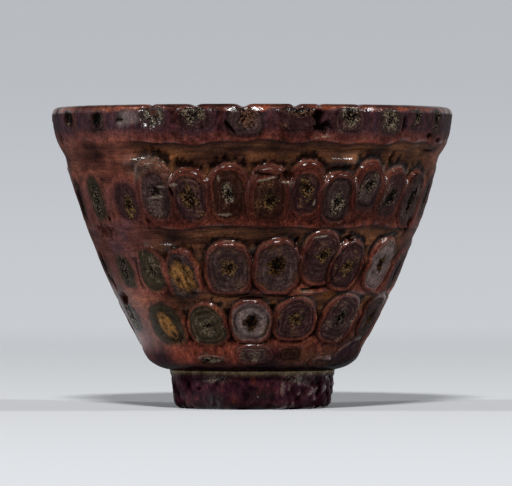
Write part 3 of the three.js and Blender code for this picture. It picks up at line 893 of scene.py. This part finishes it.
def outside_skin(turn, run, cup):
    """Lift and coats of the outside at any points, and how far within a root each lies.

    For each whorl, edges hold how far points lie within the nearest root and seconds within the next one.
    """
    spots = spots_at(turn.ravel(), run.ravel(), cup.wall)
    edges = {whorl: np.full(spots.run.shape, FAR) for whorl in ("upper", "middle", "lower", "lip", "base")}
    seconds = {whorl: np.full(spots.run.shape, FAR) for whorl in edges}
    fits = [(root, fitted(root, spots)) for root in cup.roots]
    for root, fit in fits:
        nearest = edges[root.whorl][fit.near]
        beside = np.minimum(nearest, fit.within)
        seconds[root.whorl][fit.near] = np.maximum(seconds[root.whorl][fit.near], beside)
        edges[root.whorl][fit.near] = np.maximum(nearest, fit.within)
    skin = stem_skin(spots, edges, seconds, cup)
    for whorl, weight in PINCH_SHADE.items():
        # Painted shade: the sunk corners between two neighbours go black.
        pinch_shade = weight * smooth(edges[whorl] + seconds[whorl], -2.5, -1.0) * smooth(edges[whorl], 0.1, -0.1)
        skin["stain"] = blend(skin["stain"], cup.finish.crevice_and_shade, pinch_shade)
        skin["lift"] -= 0.6 * pinch_shade
    for root, fit in fits:
        if fit.near.size:
            add_root(skin, root, fit, spots, cup)
    for mark in MARKS:
        add_mark(skin, mark, spots, cup)
    for ledge in LEDGES:
        add_ledge(skin, ledge, spots, cup)
    skin["lift"] *= 1 - 0.4 * spots.hand
    level = np.clip(skin["stain"].max(axis=1, keepdims=True), 1e-3, 1)
    skin["stain"] *= (level / OIL_PIVOT) ** OIL_DEPTH
    skin = {key: values.reshape(turn.shape + values.shape[1:]) for key, values in skin.items()}
    return skin, np.max(list(edges.values()), axis=0).reshape(turn.shape)


# Notches in the rim: turn in degrees, half width and depth in mm.
RIM_NOTCHES = (
    (-31, 0.8, 0.6), (-17, 0.9, 0.7), (-2.6, 1.0, 1.0), (12.8, 0.8, 0.9), (20, 0.5, 0.4), (33, 0.7, 0.3),
    (-46, 0.6, 0.3),
)
# Depth in mm of the sockets in the bowl, and of the backs of the root ends in them.
SOCKET_DEPTH = 1.5
ROOT_BACK = 2.2
# How far in mm a root end reaches out past its outline.
ROOT_MARGIN = 0.5


def rim_notches(turn, run, wall):
    """Depth in mm of the notches that open roots leave in the rim: a bell across and along for each."""
    total = np.zeros_like(run)
    for degrees, width, depth in RIM_NOTCHES:
        across = wrapped(turn - math.radians(degrees)) * wall.size["mouth"]
        total += depth * bell(across, 0, width) * bell(run, wall.rim_run + 0.8, 2.6)
    return total


def bowl_surface(turn, run, cup):
    """Lift and coats of the bowl: the outside with a socket under each root, the rim and a plain inside."""
    wall, finish = cup.wall, cup.finish
    skin, within = outside_skin(turn, run, cup)
    outside = smooth(run, 0.1, 1.2) * (1 - smooth(run, wall.rim_run - 0.4, wall.rim_run + 0.8))
    notch = rim_notches(turn, run, wall)
    points = wall.place(turn, run, 0 * run)
    fibre = grains(points * [1, 1, 0.06], 0.8, 31)
    blotch = grains(points, 5.0, 32)
    inner = smooth(run, wall.rim_run + 1.6, wall.rim_run + 4.5)
    plain = np.asarray(finish.inside) * (1 + 0.22 * fibre + 0.18 * blotch)[..., None]
    # Painted shade: the notches are darkened as well as sunk.
    skin["stain"] = blend(blend(skin["stain"], plain, inner), finish.crevice_and_shade, 0.8 * notch)
    socket = SOCKET_DEPTH * smooth(within, 0.25, 0.9)
    uneven = inner * smooth(wall.radius(run), 6, 16) * (0.05 * fibre + 0.06 * blotch)
    skin["lift"] = (skin["lift"] - socket) * outside - notch + uneven
    skin["polish"] = skin["polish"] * (1 - 0.8 * inner)
    skin["swept"] = skin["swept"] * (1 - inner)
    return skin


def root_grid(steps_round, steps_out):
    """Polar grid of a root end: share of the way out, angle and depth, from the back's middle to the face."""
    out = np.r_[0.5, 0.92, 0.985, 1 - 0.985 * np.linspace(0, 1, steps_out)]
    depth = np.r_[ROOT_BACK, ROOT_BACK, 1.4, 0.12, np.zeros(steps_out - 1)]
    angle = np.linspace(0, 2 * np.pi, steps_round, endpoint=False)
    rows = np.ones((len(out), steps_round))
    return out[:, None] * rows, angle[None, :] * rows, depth[:, None] * rows


def root_surface(root, cup, grid):
    """Points and coats of a root end: the part of the outside within its outline, with a back behind it."""
    out, angle, depth = grid
    power = np.where(np.sin(angle) > 0, root.look.square, root.look.square + 0.4)
    cosine, sine = np.cos(angle), np.sin(angle)
    x = out * (root.wide + ROOT_MARGIN) * np.sign(cosine) * np.abs(cosine) ** (2 / power)
    y = out * (root.tall + ROOT_MARGIN) * np.sign(sine) * np.abs(sine) ** (2 / power)
    across, along = turned(x, y, -root.look.lean)
    run = root.run + along
    turn = root.turn + across / cup.wall.radius(run)
    skin, _ = outside_skin(turn, run, cup)
    lift = skin.pop("lift")
    if root.whorl == "lip":
        lift = lift - rim_notches(turn, run, cup.wall)
    return cup.wall.place(turn, run, lift - depth), skin


def closed_grid(points, low, high, start=0):
    """Vertices and faces of a grid closed round its columns, with a pole before its rows and one after.

    Its vertices are numbered from the start.
    """
    rows, columns = points.shape[:2]
    index = start + np.arange(rows * columns).reshape(rows, columns)
    beside = np.roll(index, -1, axis=1)
    quads = np.stack([index[:-1], beside[:-1], beside[1:], index[1:]], axis=-1).reshape(-1, 4)
    first = start + rows * columns
    last = first + 1
    low_fan = np.stack([np.full(columns, first), beside[0], index[0]], axis=-1)
    high_fan = np.stack([np.full(columns, last), index[-1], beside[-1]], axis=-1)
    vertices = np.vstack([points.reshape(-1, 3), [low], [high]])
    return vertices, quads.tolist() + low_fan.tolist() + high_fan.tolist()


def with_poles(coats):
    """Coats of a grid in vertex order, with the poles' values taken from the rows beside them."""
    listed = {}
    for key, values in coats.items():
        flat = values.reshape((-1,) + values.shape[2:])
        poles = np.stack([values[0].mean(axis=0), values[-1].mean(axis=0)])
        listed[key] = np.concatenate([flat, poles])
    return listed


def add_object(name, data):
    """Adds an object to the scene."""
    item = bpy.data.objects.new(name, data)
    bpy.context.scene.collection.objects.link(item)
    return item


def make_piece(name, vertices, faces, coats, material, slot):
    """A smooth mesh object at the origin that carries its coats, colours and shares, on its vertices."""
    mesh = bpy.data.meshes.new(name)
    mesh.from_pydata(vertices * MM, [], faces)
    mesh.polygons.foreach_set("use_smooth", np.ones(len(faces), dtype=bool))
    for coat, values in coats.items():
        if values.ndim == 2:
            rgba = np.column_stack([np.clip(values, 0, 1), np.ones(len(values))])
            mesh.attributes.new(coat, "FLOAT_COLOR", "POINT").data.foreach_set("color", rgba.ravel())
        else:
            mesh.attributes.new(coat, "FLOAT", "POINT").data.foreach_set("value", values.astype(np.float32))
    mesh.materials.append(material)
    mesh.update()
    piece = add_object(name, mesh)
    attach(piece, "root")
    return piece


def add_node(tree, kind, settings=None, inputs=None):
    """Adds a node, sets its settings, and gives each named input a value or a link."""
    node = tree.nodes.new(kind)
    for key, value in (settings or {}).items():
        setattr(node, key, value)
    for key, value in (inputs or {}).items():
        if isinstance(value, bpy.types.NodeSocket):
            tree.links.new(value, node.inputs[key])
        else:
            node.inputs[key].default_value = value
    return node


def fresh_tree(block):
    """Empty node tree of a material or a world."""
    block.use_nodes = True
    block.node_tree.nodes.clear()
    return block.node_tree


def per_metre(size):
    """Scale of a pattern whose features are a size in mm across."""
    return 1 / (size * MM)


def noise(tree, vector, size, detail=2.0, roughness=0.5):
    """Noise from 0 to 1 whose features are a size in mm across."""
    inputs = {"Vector": vector, "Scale": per_metre(size), "Detail": detail, "Roughness": roughness}
    return add_node(tree, "ShaderNodeTexNoise", None, inputs).outputs["Fac"]


def ranged(tree, value, low, high, to_low=0.0, to_high=1.0, curve="LINEAR"):
    """A value carried over from one range to another and held within it."""
    inputs = {"Value": value, "From Min": low, "From Max": high, "To Min": to_low, "To Max": to_high}
    return add_node(tree, "ShaderNodeMapRange", {"interpolation_type": curve}, inputs).outputs["Result"]


def product(tree, first, second, plus=0.0):
    """Product of two values, plus a third."""
    inputs = {0: first, 1: second, 2: plus}
    return add_node(tree, "ShaderNodeMath", {"operation": "MULTIPLY_ADD"}, inputs).outputs["Value"]


# Roughness of the smoothest oiled wood and of the coat of oil on it.
WOOD_SMOOTHEST = 0.25
OIL_ROUGHNESS = 0.17
# How many times longer than thick the level streaks in the coves are.
SWEEP_STRETCH = 7


def stained_wood(name, fibre, stretch, pore, dullest, bump):
    """Oiled wood that takes its colour from the stain on the mesh.

    Fibres of the given width in mm run up the stem, stretched along it, and lie level where it is swept.
    Pores a fraction of a millimetre across break up the colour. Crumbs of pith lie where the mesh says how
    many. A coat of oil shines as far as the mesh is polished, and dull places are matt.
    """
    material = bpy.data.materials.new(name)
    tree = fresh_tree(material)
    coats = {
        coat: add_node(tree, "ShaderNodeAttribute", {"attribute_name": coat}).outputs[output]
        for coat, output in (
            ("stain", "Color"), ("crumb", "Color"), ("crumbs", "Fac"),
            ("dull", "Fac"), ("polish", "Fac"), ("swept", "Fac"),
        )
    }
    place = add_node(tree, "ShaderNodeTexCoord").outputs["Object"]
    upright = add_node(tree, "ShaderNodeMapping", None, {"Vector": place, "Scale": (1, 1, 1 / stretch)})
    along = 1 / SWEEP_STRETCH
    level = add_node(tree, "ShaderNodeMapping", None, {"Vector": place, "Scale": (along, along, 1)})
    fibres, sweeps = (noise(tree, way.outputs["Vector"], fibre, 3.0, 0.6) for way in (upright, level))
    mixed = add_node(tree, "ShaderNodeMix", {"data_type": "FLOAT"}, {0: coats["swept"], 2: fibres, 3: sweeps})
    strands = mixed.outputs[0]
    pores = noise(tree, place, pore, 2.0, 0.7)
    tone = product(tree, ranged(tree, strands, 0.3, 0.7, 0.6, 1.4), ranged(tree, pores, 0.34, 0.6, 0.6, 1.4))
    wood = add_node(tree, "ShaderNodeVectorMath", {"operation": "SCALE"}, {0: coats["stain"], "Scale": tone})
    # Crumbs are under half a millimetre across, and more of the noise passes where the mesh asks for more.
    cells = add_node(tree, "ShaderNodeTexVoronoi", None, {"Vector": place, "Scale": per_metre(0.45)})
    sponge = product(tree, cells.outputs["Distance"], 0.35, noise(tree, place, 0.34, 3.0, 0.6))
    crumb_share = ranged(tree, product(tree, coats["crumbs"], 0.3, sponge), 0.74, 1.05)
    crumb_mask = product(tree, crumb_share, ranged(tree, coats["crumbs"], 0.02, 0.12))
    shade = add_node(
        tree, "ShaderNodeMix", {"data_type": "RGBA"},
        {0: crumb_mask, 6: wood.outputs["Vector"], 7: coats["crumb"]},
    )
    roughness = ranged(tree, product(tree, pores, 0.35, coats["dull"]), 0.1, 0.9, WOOD_SMOOTHEST, dullest)
    grain = product(tree, strands, 0.6, pores)
    relief = add_node(tree, "ShaderNodeBump", None, {"Height": grain, "Strength": 0.6, "Distance": bump * MM})
    shader = add_node(
        tree, "ShaderNodeBsdfPrincipled", None,
        {
            "Base Color": shade.outputs[2],
            "Roughness": roughness,
            "Normal": relief.outputs["Normal"],
            "Specular IOR Level": 0.0,
            "Coat Weight": coats["polish"],
            "Coat Roughness": OIL_ROUGHNESS,
            "Coat Normal": relief.outputs["Normal"],
        },
    )
    add_node(tree, "ShaderNodeOutputMaterial", None, {"Surface": shader.outputs["BSDF"]})
    return material


def finishes():
    """The cup's three woods, made once and found again by name."""
    made = bpy.data.materials
    if "oiled bamboo stem" not in made:
        # Bamboo stem, carved, oiled and handled for years: fine fibres under a soft gloss.
        stained_wood("oiled bamboo stem", fibre=0.5, stretch=4.0, pore=0.35, dullest=0.6, bump=0.05)
        # Root ends pared across the grain and oiled: specks of pores, dull where the pith is open.
        stained_wood("oiled root end grain", fibre=0.5, stretch=1.0, pore=0.3, dullest=0.75, bump=0.05)
        # Dark foot, rough turned and oiled: uneven gloss on a scraped surface.
        stained_wood("oiled dark foot wood", fibre=0.6, stretch=2.0, pore=0.4, dullest=0.6, bump=0.07)
    return made["oiled bamboo stem"], made["oiled root end grain"], made["oiled dark foot wood"]


def node_points(name):
    """Vertices of a CAD node in mm."""
    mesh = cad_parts[name].data
    flat = np.empty(len(mesh.vertices) * 3, dtype=np.float32)
    mesh.vertices.foreach_get("co", flat)
    return flat.reshape(-1, 3).astype(float) / MM


# How far in mm the sheath of a CAD root stands proud of the wall.
ROOT_PROUD = 0.55
# How much wider and taller, in mm to each side, the roots of each whorl are here than in the CAD.
GROWTH = {"upper": (0.95, 0.5), "middle": (0.5, 0.5), "lower": (0.5, 0.5)}


def seat_of(name, wall):
    """Turn, run and half sizes of a CAD root, from its reach along the wall's own directions."""
    points = node_points(name)
    middle = (points.min(axis=0) + points.max(axis=0)) / 2
    turn = math.atan2(middle[0], -middle[1])
    run = wall.run_at(middle[2])
    for _ in range(2):
        slope = [np.interp(run, wall.run, wall.normal[:, axis]) for axis in (0, 1)]
        outward = np.array([math.sin(turn), -math.cos(turn), 0])
        across = np.array([math.cos(turn), math.sin(turn), 0])
        normal = outward * slope[0] + np.array([0, 0, slope[1]])
        up = np.array([0, 0, slope[0]]) - outward * slope[1]
        axes = np.stack([across, up, normal])
        reach = points @ axes.T
        low, high = reach.min(axis=0), reach.max(axis=0)
        seat = np.array([(low[0] + high[0]) / 2, (low[1] + high[1]) / 2, high[2] - ROOT_PROUD]) @ axes
        turn = math.atan2(seat[0], -seat[1])
        run = wall.run_at(seat[2])
    return turn, float(run), (high[0] - low[0]) / 2, (high[1] - low[1]) / 2


def seated_roots(wall):
    """Every root of the three whorls that the CAD seats in the wall, with its look."""
    roots = []
    for whorl, looks in (("upper", UPPER_LOOKS), ("middle", MIDDLE_LOOKS), ("lower", LOWER_LOOKS)):
        names = sorted(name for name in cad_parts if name.startswith(whorl + "_root_"))
        for place, name in enumerate(names):
            behind = BEHIND_LOOKS[(place * 5 + len(whorl)) % len(BEHIND_LOOKS)]
            look = looks[place] if place < len(looks) else behind
            turn, run, wide, tall = seat_of(name, wall)
            wider, taller = GROWTH[whorl]
            seed = 100 * len(whorl) + place
            roots.append(Root(name, whorl, turn, run, wide + wider, tall + taller, look, seed))
    return roots


def scarred_roots(wall, listed, behind, from_rim, name):
    """Roots of the lip or base whorl: those listed, then evenly spread ones behind with looks in turn."""
    size = wall.size

    def run_at(gap, wander=0.0):
        height = size["height"] - gap if from_rim else size["foot_height"] + gap
        return float(wall.run_at(height + 0.3 * wander))

    roots = []
    for place, (degrees, gap, across, tall, look) in enumerate(listed):
        turn = math.radians(degrees)
        run = run_at(gap)
        roots.append(Root(f"{name}_{place}", name, turn, run, across / 2, tall / 2, look, 900 + place))
    count, gap, across, tall = behind
    for place in range(count):
        wander = math.sin(place * 2.4)
        turn = math.radians(BEHIND_FROM + (BEHIND_SPAN / (count - 1)) * place + 1.5 * wander)
        wide = across / 2 * (1 + 0.1 * wander)
        look = BEHIND_LOOKS[(place * 2 + 1) % len(BEHIND_LOOKS)]
        look = look._replace(sheath=0.15, proud=0.15, crown=0.0, soft=0.8, gap=0.1)
        run = run_at(gap, wander)
        roots.append(Root(f"{name}_behind_{place}", name, turn, run, wide, tall / 2, look, 950 + place))
    return roots


def all_roots(wall):
    """Roots of every whorl: seated ones, then those of the lip and of the base."""
    lip = scarred_roots(wall, LIP_ROOTS, LIP_BEHIND, True, "lip")
    base = scarred_roots(wall, BASE_ROOTS, BASE_BEHIND, False, "base")
    return seated_roots(wall) + lip + base


def bowl_rows(wall):
    """Runs of the bowl's rows: few under it, many on the outside and close at the lines, some inside."""
    outside = np.linspace(0, wall.rim_run - 2.6, 2000)
    height = wall.height(outside)
    crowd = 1 + 1.6 * sum(bell(height, line.height, 1.3) for line in LINES)
    filled = np.cumsum(crowd)
    rows = np.interp(np.linspace(filled[0], filled[-1], 117), filled, outside)
    under = np.linspace(wall.run[0], 0, 5)[:-1]
    edge = np.linspace(wall.rim_run - 2.4, wall.rim_run + 0.2, 21)
    rim = np.linspace(wall.rim_run + 0.7, wall.rim_run + 4.2, 8)
    inside = np.linspace(wall.rim_run + 5.6, wall.run[-1], 16)
    return np.r_[under, rows, edge, rim, inside]


class CUP_OT_bowl(bpy.types.Operator):
    """Builds the hollowed stem with its bands, sockets and rim"""

    bl_idname = "cup.bowl"
    bl_label = "Bowl"

    def execute(self, context):
        cup = Cup(context.scene)
        turns = np.linspace(-np.pi, np.pi, context.scene.cup_shape.columns, endpoint=False)
        run, turn = np.meshgrid(bowl_rows(cup.wall), turns, indexing="ij")
        coats = bowl_surface(turn, run, cup)
        points = cup.wall.place(turn, run, coats.pop("lift"))
        low = (0, 0, points[0, :, 2].mean())
        high = (0, 0, points[-1, :, 2].mean())
        vertices, faces = closed_grid(points, low, high)
        piece = make_piece("stem_bowl", vertices, faces, with_poles(coats), finishes()[0], "culm_wall")
        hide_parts("bowl")
        return {"FINISHED"}


def root_mesh(start, cup, grid):
    """Vertices, faces and coats of the root ends whose names start so, one closed body after another."""
    vertices, faces, coats = [], [], []
    for count, root in enumerate(root for root in cup.roots if root.name.startswith(start)):
        points, coat = root_surface(root, cup, grid)
        before = count * (grid[0].size + 2)
        corners, polygons = closed_grid(points, points[0].mean(axis=0), points[-1].mean(axis=0), before)
        vertices.append(corners)
        faces += polygons
        coats.append(with_poles(coat))
    joined = {key: np.concatenate([coat[key] for coat in coats]) for key in coats[0]}
    return np.vstack(vertices), faces, joined


class CUP_OT_seated_roots(bpy.types.Operator):
    """Builds the pared root ends of the upper, middle and lower whorls"""

    bl_idname = "cup.seated_roots"
    bl_label = "Seated roots"

    def execute(self, context):
        cup = Cup(context.scene)
        grid = root_grid(120, 30)
        for root in cup.roots:
            if root.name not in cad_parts:
                continue
            mesh = root_mesh(root.name, cup, grid)
            piece = make_piece("pared_" + root.name, *mesh, finishes()[1], "root_end")
            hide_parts(root.name)
        return {"FINISHED"}


class CUP_OT_cut_roots(bpy.types.Operator):
    """Builds the root ends of the lip and base whorls, cut off by the rim and by the foot joint"""

    bl_idname = "cup.cut_roots"
    bl_label = "Cut roots"

    def execute(self, context):
        cup = Cup(context.scene)
        grid = root_grid(96, 24)
        for whorl in ("lip", "base"):
            make_piece(whorl + "_root_ends", *root_mesh(whorl, cup, grid), finishes()[1], "root_end")
        return {"FINISHED"}


# Foot in mm: how far it narrows to its ring, the rounding and width of the ring and the hollow in it.
FOOT_TAPER = 0.7
FOOT_ROUND = 2.2
FOOT_RING_WIDTH = 4.6
FOOT_HOLLOW = 1.4
# Collar at the foot's top in mm: its height, how far it flares, and how far in the top starts.
FOOT_COLLAR = 0.9
FOOT_FLARE = 0.1
FOOT_INSET = 0.3
# Gap in mm that keeps the top of the foot clear of the bowl, and steps round the foot.
FOOT_CLEAR = 0.02
FOOT_COLUMNS = 360


def foot_section(size):
    """Radius and height round the foot in mm: hollow underside, ring, rounded edge, side and top."""
    radius, top = size["foot_radius"], size["foot_height"]
    low = radius - FOOT_TAPER
    ring = low - FOOT_ROUND
    return np.vstack([
        np.linspace((POLE_RADIUS, FOOT_HOLLOW), (ring - FOOT_RING_WIDTH - FOOT_HOLLOW, FOOT_HOLLOW), 8),
        np.linspace((ring - FOOT_RING_WIDTH, 0.0), (ring, 0.0), 6),
        bezier((ring, 0.0), (low, 0.0), (low, FOOT_ROUND), 16)[1:],
        np.linspace((low, FOOT_ROUND), (radius, top - FOOT_COLLAR), 30)[1:],
        np.linspace((radius, top - FOOT_COLLAR), (radius + FOOT_FLARE, top - FOOT_CLEAR), 6)[1:],
        np.linspace((radius - FOOT_INSET, top - FOOT_CLEAR), (POLE_RADIUS, top - FOOT_CLEAR), 6),
    ])


# Scars on the foot: turn in degrees, height, half width, half height and depth in mm; a minus swells and
# takes pale specks, partly painted highlights.
FOOT_SCARS = (
    (-28.8, 1.9, 2.4, 1.5, 0.4), (6.2, 3.0, 2.6, 1.0, 0.35),
    (-27.1, 6.6, 2.4, 0.5, -0.3), (32.3, 6.6, 1.6, 0.6, -0.3),
)


def foot_surface(turn, radius, height, size, finish):
    """Lift and coats of the foot: dark wood, scraped on the right, with pits, scars and a pale seam.

    The seam's paleness is partly painted light, and the pale specks on the scraped side and the swelling
    scars are partly painted highlights.
    """
    top, degrees = size["foot_height"], np.degrees(turn)
    spot = np.stack([radius * np.sin(turn), -radius * np.cos(turn), height], axis=-1)
    side = smooth(radius, size["foot_radius"] - 2.6, size["foot_radius"] - 1.2)
    right = smooth(degrees, 5, 30) * smooth(degrees, 150, 120) * np.ones_like(radius)
    streaks = grains(spot, 1.1, 61) + 0.5 * grains(spot * [1, 1, 0.6], 0.5, 62)
    blotch = grains(spot, 3.2, 63) + 0.5 * grains(spot, 1.4, 64)
    band = smooth(height, 5.4, 6.6)
    lift = side * (0.1 * blotch + (0.03 + 0.32 * right) * streaks * (1 - 0.6 * band))
    lift = lift - 0.18 * bell(height, top - 1.5, 0.4) * side
    stain = blend(finish.foot, finish.foot_red, smooth(blotch + 0.5 * streaks, 0.2, 1.5))
    stain = stain * np.clip(1.1 + 0.9 * streaks + 0.5 * blotch, 0.1, 2.6)[..., None]
    stain = stain * (1 - 0.4 * bell(degrees, -4, 18))[:, None]
    pits = smooth(grains(spot, 1.6, 65), 0.6, 0.8) * side * (1 - band)
    polish = 0.1 + 0.25 * blotch - pits + 0.9 * right * smooth(streaks, 0.1, 0.8)
    # Pale specks on the scraped right side, partly painted highlights.
    crumbs = 0.6 * right * smooth(streaks, 0.3, 0.9) * side
    for middle_turn, middle, wide, tall, depth in FOOT_SCARS:
        across = wrapped(turn - math.radians(middle_turn)) * size["foot_radius"]
        scar = bell(across, 0, wide) * bell(height + 0.4 * streaks, middle, tall)
        lift = lift - depth * scar * np.clip(0.8 + streaks, 0, 1.5)
        polish = polish + scar
        # Swelling scars take pale specks, partly painted highlights.
        crumbs = crumbs + 0.9 * scar * (depth < 0)
        stain = blend(stain, finish.crevice_and_shade, 0.8 * scar * (depth > 0))
    shade = np.maximum(0.7 * pits, 0.6 * (1 - smooth(height, 0.3, 2.4)))
    stain = blend(stain, finish.crevice_and_shade, shade)
    # The seam's pale colour is partly painted light, where the heel above shades it.
    seam = bell(height + 0.1 * blotch, top - 0.2, 0.55) * side
    stain = blend(stain, finish.seam, seam * np.clip(0.9 + 0.4 * blotch, 0, 1))
    bone = np.broadcast_to(np.array(finish.bone), stain.shape)
    polish = np.clip(polish, 0, 1)
    coats = {"stain": stain, "dull": 0.3 * pits, "polish": polish, "crumb": bone, "crumbs": crumbs}
    return lift - 0.2 * pits, coats


class CUP_OT_foot(bpy.types.Operator):
    """Builds the dark foot with its seam, scars and scraped side"""

    bl_idname = "cup.foot"
    bl_label = "Foot"

    def execute(self, context):
        size = Wall(context.scene.cup_shape).size
        section = foot_section(size)
        turn = np.linspace(-np.pi, np.pi, FOOT_COLUMNS, endpoint=False)
        radius = section[:, :1] * np.ones(FOOT_COLUMNS)
        height = section[:, 1:] * np.ones(FOOT_COLUMNS)
        lift, coats = foot_surface(turn, radius, height, size, context.scene.cup_finish)
        points = np.stack([(radius + lift) * np.sin(turn), -(radius + lift) * np.cos(turn), height], axis=-1)
        poles = (0, 0, FOOT_HOLLOW), (0, 0, size["foot_height"] - FOOT_CLEAR)
        vertices, faces = closed_grid(points, *poles)
        piece = make_piece("turned_foot", vertices, faces, with_poles(coats), finishes()[2], "foot_wood")
        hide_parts("foot")
        return {"FINISHED"}


def paper_floor(stage):
    """Matt paper sheet: a wide disc of rings and spokes whose edge fades into the grey of the studio."""
    radius = np.r_[np.linspace(0.02, 0.3, 8), np.linspace(0.4, 3.0, 10)][:, None]
    turn = np.linspace(0, 2 * np.pi, 96, endpoint=False)
    points = np.stack([radius * np.cos(turn), radius * np.sin(turn), 0 * radius * turn], axis=-1)
    rows, columns = points.shape[:2]
    index = np.arange(rows * columns).reshape(rows, columns)
    beside = np.roll(index, -1, axis=1)
    quads = np.stack([index[:-1], index[1:], beside[1:], beside[:-1]], axis=-1).reshape(-1, 4)
    fan = np.stack([np.full(columns, rows * columns), index[0], beside[0]], axis=-1)
    mesh = bpy.data.meshes.new("paper_floor")
    mesh.from_pydata(np.vstack([points.reshape(-1, 3), [(0, 0, 0)]]), [], quads.tolist() + fan.tolist())
    material = bpy.data.materials.new("matt paper sheet")
    tree = fresh_tree(material)
    place = add_node(tree, "ShaderNodeTexCoord").outputs["Object"]
    away = add_node(tree, "ShaderNodeVectorMath", {"operation": "LENGTH"}, {0: place}).outputs["Value"]
    fade = ranged(tree, away, 0.25, 1.1, curve="SMOOTHSTEP")
    tooth = noise(tree, place, 0.6)
    bump = add_node(tree, "ShaderNodeBump", None, {"Height": tooth, "Strength": 0.05, "Distance": 0.1 * MM})
    look = {"Color": (*stage.floor, 1), "Normal": bump.outputs["Normal"]}
    paper = add_node(tree, "ShaderNodeBsdfDiffuse", None, look).outputs["BSDF"]
    gone = add_node(tree, "ShaderNodeBsdfTransparent").outputs["BSDF"]
    mixed = add_node(tree, "ShaderNodeMixShader", None, {"Fac": fade, 1: paper, 2: gone})
    add_node(tree, "ShaderNodeOutputMaterial", None, {"Surface": mixed.outputs["Shader"]})
    mesh.materials.append(material)
    floor = add_object("paper_floor", mesh)
    # The wood's gloss doesn't show the paper, so that dark root ends stay dark.
    floor.visible_glossy = False


def studio_grey(stage):
    """World light: a grey that is paler at the horizon, dim overhead and dark on the camera's side."""
    world = bpy.data.worlds.new("studio grey")
    tree = fresh_tree(world)
    way = add_node(tree, "ShaderNodeTexCoord").outputs["Generated"]
    parts = add_node(tree, "ShaderNodeSeparateXYZ", None, {"Vector": way})
    rise = ranged(tree, parts.outputs["Z"], -0.02, 0.035, curve="SMOOTHSTEP")
    greys = {0: rise, 6: (*stage.horizon, 1), 7: (*stage.backdrop, 1)}
    sky = add_node(tree, "ShaderNodeMix", {"data_type": "RGBA"}, greys).outputs[2]
    room = ranged(tree, parts.outputs["Y"], -0.75, -0.1, 0.12, 1.0, "SMOOTHSTEP")
    overhead = ranged(tree, parts.outputs["Z"], 0.1, 0.6, 1.0, 0.2, "SMOOTHSTEP")
    level = product(tree, room, overhead)
    background = add_node(tree, "ShaderNodeBackground", None, {"Color": sky, "Strength": level})
    add_node(tree, "ShaderNodeOutputWorld", None, {"Surface": background.outputs["Background"]})
    bpy.context.scene.world = world


# Point in metres that the lamps face.
LAMP_AIM = (0, 0, 0.03)


def aim(item, place, target):
    """Puts a lamp or a camera in its place and turns it to face a target."""
    item.location = place
    item.rotation_euler = (Vector(target) - item.location).to_track_quat("-Z", "Y").to_euler()


def add_lamp(name, place, size, power):
    """A soft box of the given size and power that faces the cup."""
    lamp = bpy.data.lights.new(name, "AREA")
    lamp.shape = "RECTANGLE"
    lamp.size, lamp.size_y = size
    lamp.energy = power
    aim(add_object(name, lamp), place, LAMP_AIM)


class CUP_OT_stage(bpy.types.Operator):
    """Sets the camera, the paper floor, the lamps and the studio's grey"""

    bl_idname = "cup.stage"
    bl_label = "Stage"

    def execute(self, context):
        scene = context.scene
        stage = scene.cup_stage
        scene.view_settings.view_transform = "Standard"
        paper_floor(stage)
        studio_grey(stage)
        add_lamp("soft_key", (-0.17, -3.08, 2.54), (0.5, 0.45), stage.key_power)
        add_lamp("left_strip", (-2.96, -0.8, 2.57), (0.3, 0.6), stage.strip_power)
        add_lamp("right_strip", (2.96, -0.8, 2.57), (0.3, 0.6), stage.strip_power)
        camera = add_object("camera", bpy.data.cameras.new("camera"))
        camera.data.lens = stage.lens
        camera.data.sensor_width = 36
        aim(camera, (stage.aside, -stage.distance, stage.eye), (stage.aside, 0, stage.aim))
        camera.data.clip_start, camera.data.clip_end = 0.05, 50
        scene.camera = camera
        return {"FINISHED"}


class CUP_PT_panel(bpy.types.Panel):
    """Lists the cup's sizes, colours and operators"""

    bl_label = "Bamboo root cup"
    bl_idname = "CUP_PT_panel"
    bl_space_type = "VIEW_3D"
    bl_region_type = "UI"
    bl_category = "Cup"

    def draw(self, context):
        for group in (context.scene.cup_shape, context.scene.cup_finish, context.scene.cup_stage):
            box = self.layout.box()
            for key in type(group).__annotations__:
                box.prop(group, key)
        for operator in OPERATORS:
            self.layout.operator(operator.bl_idname)


OPERATORS = (CUP_OT_bowl, CUP_OT_seated_roots, CUP_OT_cut_roots, CUP_OT_foot, CUP_OT_stage)
CLASSES = (CupShape, CupFinish, CupStage, *OPERATORS, CUP_PT_panel)


def register():
    """Registers the classes and hangs the settings on the scene."""
    for item in CLASSES:
        bpy.utils.register_class(item)
    bpy.types.Scene.cup_shape = PointerProperty(type=CupShape)
    bpy.types.Scene.cup_finish = PointerProperty(type=CupFinish)
    bpy.types.Scene.cup_stage = PointerProperty(type=CupStage)


def unregister():
    """Takes the settings and the classes away again."""
    del bpy.types.Scene.cup_stage
    del bpy.types.Scene.cup_finish
    del bpy.types.Scene.cup_shape
    for item in reversed(CLASSES):
        bpy.utils.unregister_class(item)


def main():
    """Registers the add-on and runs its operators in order."""
    register()
    bpy.ops.cup.bowl()
    bpy.ops.cup.seated_roots()
    bpy.ops.cup.cut_roots()
    bpy.ops.cup.foot()
    bpy.ops.cup.stage()


if __name__ == "__main__":
    main()
